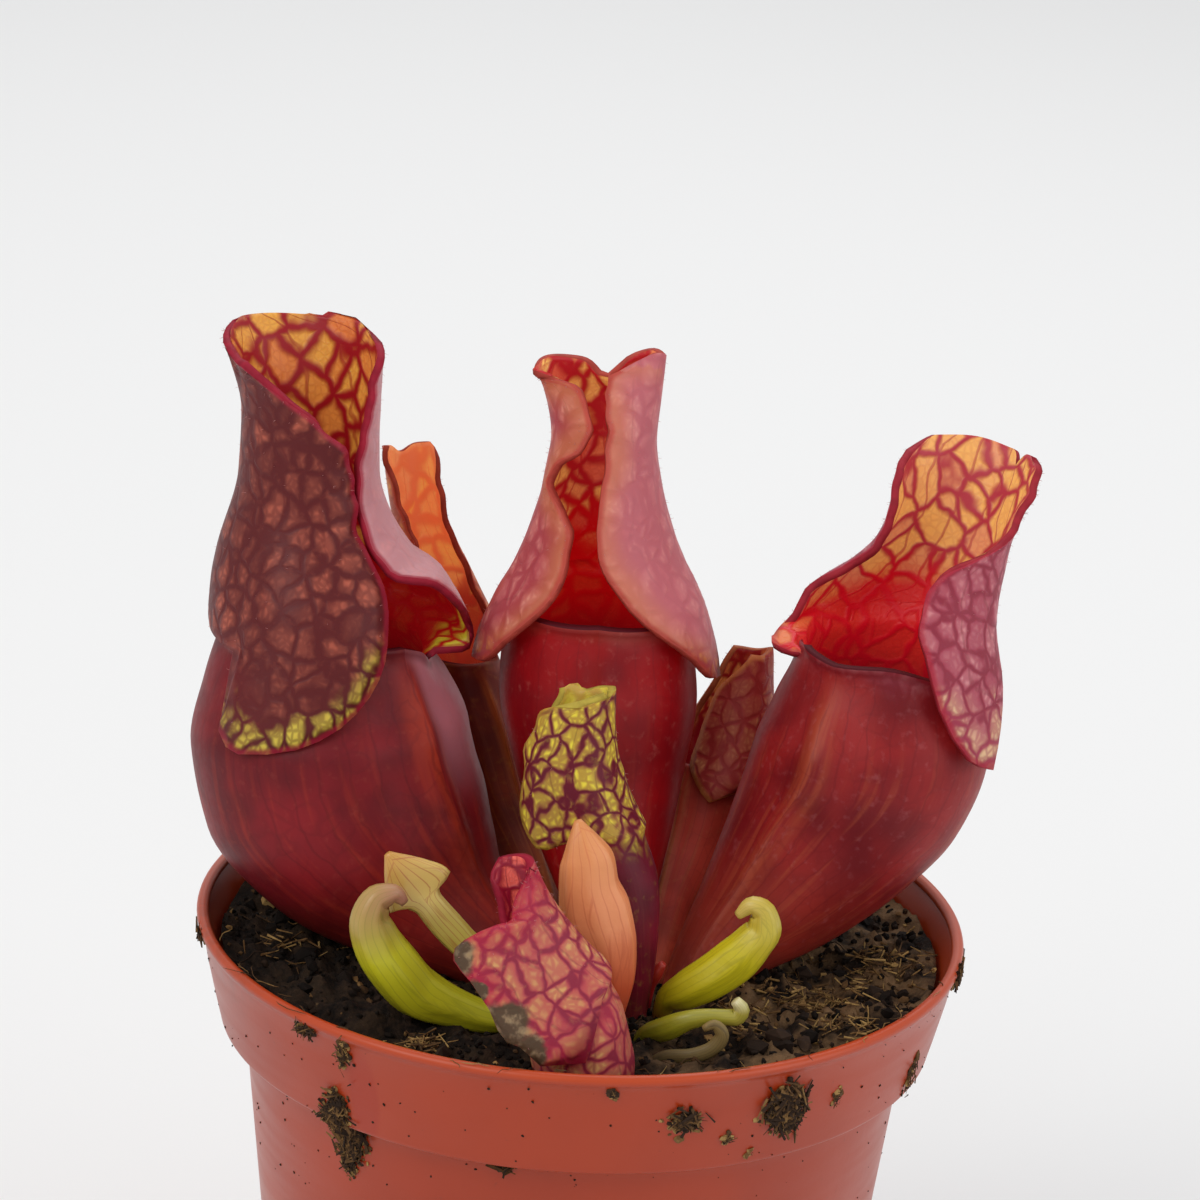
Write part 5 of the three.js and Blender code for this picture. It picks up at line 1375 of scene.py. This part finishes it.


# %% [markdown]
# ## The plastic
# The pot is thin brown-orange plastic with a soft shine, and the top of its rim bead is a
# brighter orange as a painted highlight. It is dusty by the rim and has fine level scuffs, which a
# noise that is squeezed in height gives. A darker band of painted reflection, where the shine is
# missing, runs down the collar at the front left.

# %% The plastic
REFLECTION_GAP_ANGLE, REFLECTION_GAP_RADIUS, REFLECTION_GAP_HEIGHT, SQUEEZE = math.radians(-121.5), 43.4, 68.6, 0.28
pot_finish = Finish("terracotta_plastic")
f = pot_finish
spot = f.place()
height = f.part(spot, 2) / MM
cloud = f.noise(spot, 38.0, 3.0)
speck = f.noise(spot, 650.0, 4.0, 0.6)
scuff = f.noise(f.mapping(spot, (60.0, 60.0, 500.0)), 1.0, 3.0)
plastic = f.mix(cloud.rise(0.3, 0.7), paint("a4340a"), paint("982e08"))
plastic = f.mix(speck.rise(0.66, 0.78) * 0.35, plastic, paint("602818"))
# painted highlight: the top of the rim bead is a brighter orange
plastic = f.mix(height.rise(76.9, 77.7) * 0.7, plastic, paint("bc4414"))
# painted reflection: a darker band runs down the collar where the shine is missing
low = f.mapping(spot, (1, 1, SQUEEZE))
reflection_gap_place = (REFLECTION_GAP_RADIUS * math.cos(REFLECTION_GAP_ANGLE), REFLECTION_GAP_RADIUS * math.sin(REFLECTION_GAP_ANGLE),
                REFLECTION_GAP_HEIGHT * SQUEEZE)
plastic = f.mix(near(f, low, reflection_gap_place, cloud * 1.6 + 1.7) * 0.9, plastic, paint("9c2800"))
dusty = cloud.rise(0.45, 0.7) * height.rise(70.0, 77.0) * speck.rise(0.4, 0.6)
plastic = f.mix(dusty * 0.3, plastic, paint("5a3424"))
f.set(base_color=plastic, roughness=scuff.rise(0.3, 0.8) * 0.12 + 0.34, specular_ior_level=0.3,
      coat_weight=0.3, coat_roughness=0.35)
f.set(normal=f.bump(speck * 0.6 + scuff * 0.4, 0.00012, 0.3))

# %% [markdown]
# ## Turning and drilling
# A pot is round, so its section is spun once round the upright axis. The drain holes are cut
# by a Boolean with eight short cylinders, and the result is kept as a plain mesh.

# %% The pot, turned and drilled
POT_STEPS, SHARP_CORNER = 160, math.radians(38)
DRILL_HEIGHT, DRILL_LENGTH = 1.5, 6.0
pot = add_piece("nursery_pot", turned(section, POT_STEPS), [pot_finish], "pot")
drill_mesh = bmesh.new()
for hole in range(DRAIN_HOLES):
    angle = math.tau * (hole + 0.5) / DRAIN_HOLES
    middle = Vector((DRAIN_RING_RADIUS * math.cos(angle), DRAIN_RING_RADIUS * math.sin(angle),
                     DRILL_HEIGHT))
    bmesh.ops.create_cone(drill_mesh, cap_ends=True, segments=24, radius1=DRAIN_RADIUS * MM,
                          radius2=DRAIN_RADIUS * MM, depth=DRILL_LENGTH * MM,
                          matrix=Matrix.Translation(middle * MM))
drill = placed("drill", mesh_data("drill", drill_mesh))
cut = pot.modifiers.new("holes", "BOOLEAN")
cut.operation = "DIFFERENCE"
cut.object = drill
cut.solver = "EXACT"
frozen(pot)
bpy.data.objects.remove(drill)
if not pot.data.materials:
    pot.data.materials.append(pot_finish.material)
for polygon in pot.data.polygons:
    polygon.use_smooth = True
pot.data.set_sharp_from_angle(angle=SHARP_CORNER)
print("the pot has", len(pot.data.polygons), "faces")

# %% [markdown]
# ## The soil
# The soil is dark peat. Its top is a fine ring grid pushed up and down by noise of several
# sizes, and loose crumbs and fibres lie on it. The crumbs share one tiny shape of 20 faces,
# because there are many hundreds of them.

# %% The soil
soil_finish = Finish("peat")
f = soil_finish
spot = f.place()
grain = f.noise(spot, 900.0, 5.0, 0.65)
patch = f.noise(spot, 120.0, 4.0, 0.6)
earth = f.mix(grain.rise(0.35, 0.65), paint("0c0705"), paint("2a1d14"))
# painted light and shade: the lighter brown patches show mostly on the right side, and the left
# side stays dark
painted_lit_side = f.part(spot, 0) / MM
earth = f.mix(patch.rise(0.42, 0.6) * (painted_lit_side.rise(-5.0, 25.0) * 0.85 + 0.1), earth,
              paint("785c40"))
earth = f.mix(grain.rise(0.64, 0.76) * 0.6, earth, paint("8a6c48"))
f.set(base_color=earth, roughness=0.92, specular_ior_level=0.2)
f.set(normal=f.bump(grain + patch, 0.0006, 0.9))

SOIL_RINGS, SOIL_STEPS = 84, 220
soil_edge = collar_radius(SOIL_LEVEL) - WALL - 0.25 - SOIL_GAP
soil_section = [(0, FLOOR_TOP + SOIL_GAP),
                (body_radius(FLOOR_TOP) - WALL - 1 - SOIL_GAP, FLOOR_TOP + SOIL_GAP),
                (body_radius(FLOOR_TOP + 1) - WALL - SOIL_GAP, FLOOR_TOP + 1 + SOIL_GAP),
                (BODY_TOP_RADIUS - WALL - SOIL_GAP, COLLAR_FOOT + WALL - 0.4),
                (COLLAR_FOOT_RADIUS - WALL - 0.6 - SOIL_GAP, COLLAR_FOOT + WALL + SOIL_GAP),
                (COLLAR_FOOT_RADIUS - WALL - SOIL_GAP, COLLAR_FOOT + WALL + 0.6 + SOIL_GAP)]
soil_section += [(soil_edge * (1 - i / SOIL_RINGS), SOIL_LEVEL) for i in range(SOIL_RINGS + 1)]


def soil_height(x, y):
    """The bumpy top of the soil, banked up a little by the pot."""
    out = math.hypot(x, y) / soil_edge
    clods = noise.noise(Vector((x * 0.16, y * 0.16, 3.0))) * 1.5
    clods += abs(noise.noise(Vector((x * 0.33, y * 0.33, 8.0)))) * 2.4 - 0.6
    clods += abs(noise.noise(Vector((x * 1.1, y * 1.1, 1.0)))) * 0.9 - 0.2
    bank = 1.6 * out ** 5 * (0.7 + 0.6 * noise.noise(Vector((x * 0.1, y * 0.1, 20.0))))
    return SOIL_LEVEL + bank + clods * min(1, (1.05 - out) * 8) + 0.3


soil_mesh = turned(soil_section, SOIL_STEPS)
for vertex in soil_mesh.verts:
    if abs(vertex.co.z - SOIL_LEVEL * MM) < 0.01 * MM:
        vertex.co.z = soil_height(vertex.co.x / MM, vertex.co.y / MM) * MM
soil = add_piece("peat", soil_mesh, [soil_finish], "soil")
print("the soil has", len(soil.data.polygons), "faces")

# %% [markdown]
# ## Crumbs
# Peat is a mix of black crumbs with a few pale ones. A tone is stored at each crumb's points,
# and one material turns it into a colour. The pale ones are rare, as a high power of a random
# number is. On the left of the soil the power is higher still, so the crumbs there are darker:
# that is painted shade.

# %% Crumbs on the soil
crumb_finish = Finish("crumbs")
f = crumb_finish
tone = f.attribute("tone")
grain = f.noise(f.place(), 1500.0, 3.0, 0.6)
shade = f.ramp([(0.0, "120b07"), (0.55, "33241a"), (0.8, "6a4c2c"), (1.0, "ac8a54")],
               tone + (grain - 0.5) * 0.35)
f.set(base_color=shade, roughness=0.9, specular_ior_level=0.2)


CRUMBS, LARGE_CRUMBS, LARGER = 3200, 0.08, 2.2
PAINTED_SHADE_SIDE, PAINTED_SHADE_POWER, PALE_POWER = 8, 5.5, 3.2


def toned():
    """An empty mesh whose points can remember a tone."""
    mesh = bmesh.new()
    mesh.verts.layers.float.new("tone")
    return mesh


def scatter(mesh, place, size, tone, flat=1.0, normal=None):
    """Adds one crumb of 20 faces."""
    layer = mesh.verts.layers.float["tone"]
    angle = rng.uniform(0, 6.3)
    axis = Vector((rng.uniform(-1, 1), rng.uniform(-1, 1), 1)).normalized()
    turn = Matrix.Rotation(angle, 4, axis)
    shape = Matrix.Diagonal((rng.uniform(0.6, 1.5), rng.uniform(0.6, 1.2), rng.uniform(0.5, 1.0),
                             1))
    matrix = Matrix.Translation(place * MM)
    if normal is not None:
        matrix = matrix @ pointing(normal) @ Matrix.Diagonal((1, 1, flat, 1))
    made = bmesh.ops.create_icosphere(mesh, subdivisions=1, radius=size * MM,
                                      matrix=matrix @ turn @ shape)
    for vertex in made["verts"]:
        vertex[layer] = tone
        vertex.co += Vector([rng.uniform(-1, 1) for _ in range(3)]) * size * 0.22 * MM


crumbs = toned()
for _ in range(CRUMBS):
    angle, out = rng.uniform(0, math.tau), soil_edge * math.sqrt(rng.uniform(0.0, 0.99))
    x, y = out * math.cos(angle), out * math.sin(angle)
    size = rng.uniform(0.15, 0.6) * (LARGER if rng.random() < LARGE_CRUMBS else 1)
    # painted shade: crumbs on the left side get a higher power and so a darker tone
    tone = rng.random() ** (PAINTED_SHADE_POWER if x < PAINTED_SHADE_SIDE else PALE_POWER)
    scatter(crumbs, Vector((x, y, soil_height(x, y) + size * 0.1)), size, min(tone, 1.0))
add_piece("soil_crumbs", crumbs, [crumb_finish], smooth_faces=False)

# %% [markdown]
# ## Fibres, and dirt on the pot
# Peat is full of fine root fibres. Some lie across the soil and over the rim, and clumps of
# wet peat have stuck to the outside of the pot where it was filled. A fibre is a three-sided
# thread along a wandering line. In the mats and clumps, where there are many hundreds of them,
# a fibre is one short straight strip.

# %% Threads and clumps
def thread(mesh, line, radius, tone):
    """A three-sided thread through the points of a line, thinner at its ends."""
    layer = mesh.verts.layers.float["tone"]
    rings = []
    for i, point in enumerate(line):
        ahead = (line[min(i + 1, len(line) - 1)] - line[max(i - 1, 0)]).normalized()
        thin = radius * (0.35 if i in (0, len(line) - 1) else 1.0)
        made = bmesh.ops.create_circle(mesh, cap_ends=False, segments=3, radius=thin * MM,
                                       matrix=Matrix.Translation(point * MM) @ pointing(ahead))
        for vertex in made["verts"]:
            vertex[layer] = tone
        rings.append([edge for vertex in made["verts"] for edge in vertex.link_edges])
    for low, high in zip(rings, rings[1:]):
        bmesh.ops.bridge_loops(mesh, edges=list(set(low)) + list(set(high)))


def strip(mesh, middle, heading, length, radius, tone):
    """One short straight fibre with three sides."""
    layer = mesh.verts.layers.float["tone"]
    matrix = Matrix.Translation(middle * MM) @ pointing(heading.normalized())
    made = bmesh.ops.create_cone(mesh, segments=3, radius1=radius * MM, radius2=radius * 0.4 * MM,
                                 depth=length * MM, matrix=matrix)
    for vertex in made["verts"]:
        vertex[layer] = tone


def wander(start, heading, length, steps, bend, settle):
    """The points of a line that wanders from a start and settles on a surface."""
    line, point = [start.copy()], start.copy()
    for _ in range(steps):
        heading = (heading + Vector([rng.gauss(0, bend) for _ in range(3)])).normalized()
        point = settle(point + heading * length / steps)
        line.append(point.copy())
    return line


def wall_point(angle, z, out=0.0):
    """A point on the outside of the pot, and the way outwards there."""
    radius = collar_radius(z) - 0.1 if z > COLLAR_FOOT else body_radius(z)
    around = math.radians(angle)
    away = Vector((math.cos(around), math.sin(around), 0))
    return away * (radius + out) + Vector((0, 0, z)), away


def on_soil(point):
    """The place on the soil's top below or above a point."""
    out = min(math.hypot(point.x, point.y), soil_edge - 0.5)
    around = math.atan2(point.y, point.x)
    x, y = out * math.cos(around), out * math.sin(around)
    return Vector((x, y, soil_height(x, y) + 0.15 + rng.uniform(0, 0.3)))


# [x, y, reach, count] of the mats of brown fibres, in millimetres
MATS = [[27, -12, 6, 170], [36, -2, 5, 140], [19, -18, 4, 70], [31, -20, 4, 60],
        [-17, -31, 2.6, 80], [-33, -8, 4, 30]]
SOIL_FIBRES, RIM_FIBRES = 150, 26
fibres = toned()
for x, y, reach, count in MATS:
    for _ in range(count):
        middle = on_soil(Vector((rng.gauss(x, reach * 0.5), rng.gauss(y, reach * 0.5), 0)))
        heading = Vector((rng.uniform(-1, 1), rng.uniform(-1, 1), rng.uniform(-0.25, 0.25)))
        strip(fibres, middle, heading, rng.uniform(1, 3), rng.uniform(0.08, 0.2),
              rng.uniform(0.6, 1.0))
for _ in range(SOIL_FIBRES):
    around, out = rng.uniform(0, math.tau), soil_edge * math.sqrt(rng.uniform(0.05, 0.98))
    start = on_soil(Vector((out * math.cos(around), out * math.sin(around), 0)))
    heading = Vector((rng.uniform(-1, 1), rng.uniform(-1, 1), 0)).normalized()
    line = wander(start, heading, rng.uniform(2, 8), 7, 0.35, on_soil)
    thread(fibres, line, rng.uniform(0.05, 0.12), rng.uniform(0.45, 1.0))
for _ in range(RIM_FIBRES):
    angle = rng.uniform(-160, -20)
    start, away = wall_point(angle, POT_HEIGHT - 0.6, rng.uniform(-1.2, 0.3))
    start.z = POT_HEIGHT + 0.08
    sideways = Vector((-away.y, away.x, 0)) * rng.choice((-1, 1))
    line = wander(start, sideways, rng.uniform(1.5, 5), 6, 0.25,
                  lambda p: Vector((p.x, p.y, POT_HEIGHT + 0.05 + rng.uniform(0, 0.15))))
    thread(fibres, line, rng.uniform(0.04, 0.08), rng.uniform(0.5, 1.0))
add_piece("root_fibres", fibres, [crumb_finish])

# %% [markdown]
# ## Clumps
# Each clump is given by the angle round the pot, its height, how wide and tall it is and how
# many crumbs it has. Crumbs and straight fibres lie flat on the wall, densest in the middle.

# %% Dirt on the pot
# [angle, height, width, tall, crumbs] of each clump
CLUMPS = [[-124.5, 75, 1.2, 2.0, 40], [-127, 67.6, 1.6, 2.0, 130], [-128, 64.4, 2.5, 2.6, 260],
          [-128.5, 61.2, 2.5, 2.4, 220], [-129.2, 58.4, 1.3, 1.7, 60],
          [-57.5, 72.4, 3.0, 2.0, 190], [-56.5, 70.2, 2.4, 1.8, 90], [-73, 72, 2.0, 1.1, 80],
          [-131.5, 76.3, 2.0, 0.7, 30], [-25.5, 68, 1.2, 2.2, 34], [-47.5, 71, 0.7, 1.2, 16],
          [-100, 63.4, 1.6, 0.5, 20], [-12, 76.6, 2.6, 1.2, 60], [-4, 75, 1.6, 1.6, 40],
          [-166, 76.8, 2.0, 0.8, 26], [-84, 75.8, 0.6, 0.6, 8], [-66, 69, 0.7, 0.7, 12],
          [-62, 66.5, 0.5, 0.5, 6]]
SPECKS, COLLAR_MIDDLE_RADIUS, SMALL_CLUMP = 420, 43, 2.2
dirt = toned()
for angle, z, wide, tall, count in CLUMPS:
    for _ in range(count):
        slide, drop = rng.gauss(0, 0.45) * wide, rng.gauss(0, 0.5) * tall
        size = rng.uniform(0.16, 0.6) * (1.0 if abs(slide) < wide * 0.6 else 0.6)
        height = min(z + drop, POT_HEIGHT - 0.8)
        turn = math.degrees(slide / COLLAR_MIDDLE_RADIUS)
        point, away = wall_point(angle + turn, height, size * 0.15)
        scatter(dirt, point, size, rng.uniform(0.5, 0.98), 0.45, away)
    for _ in range(count):
        turn, drop = rng.gauss(0, 0.5) * wide, rng.gauss(0, 0.5) * tall
        point, away = wall_point(angle + turn, z + drop, 0.15)
        level = Vector((-away.y, away.x, 0)) * rng.uniform(-1, 1)
        heading = level + Vector((0, 0, rng.uniform(-1, 1)))
        share = min(1.0, wide / SMALL_CLUMP)
        strip(dirt, point + away * rng.uniform(0, 0.5), heading, rng.uniform(0.8, 2.6) * share,
              rng.uniform(0.07, 0.26) * share, rng.uniform(0.35, 0.85))
for _ in range(SPECKS):
    height = rng.uniform(48, 77)
    point, away = wall_point(rng.uniform(-180, 180), height, 0.02)
    scatter(dirt, point, rng.uniform(0.05, 0.2), rng.uniform(0.1, 0.6), 0.6, away)
add_piece("dirt_on_pot", dirt, [crumb_finish], smooth_faces=False)
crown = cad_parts["rootstock"].data.materials
crown.clear()
crown.append(soil_finish.material)
print(len(CLUMPS), "clumps of dirt and", SPECKS, "specks are on the pot")
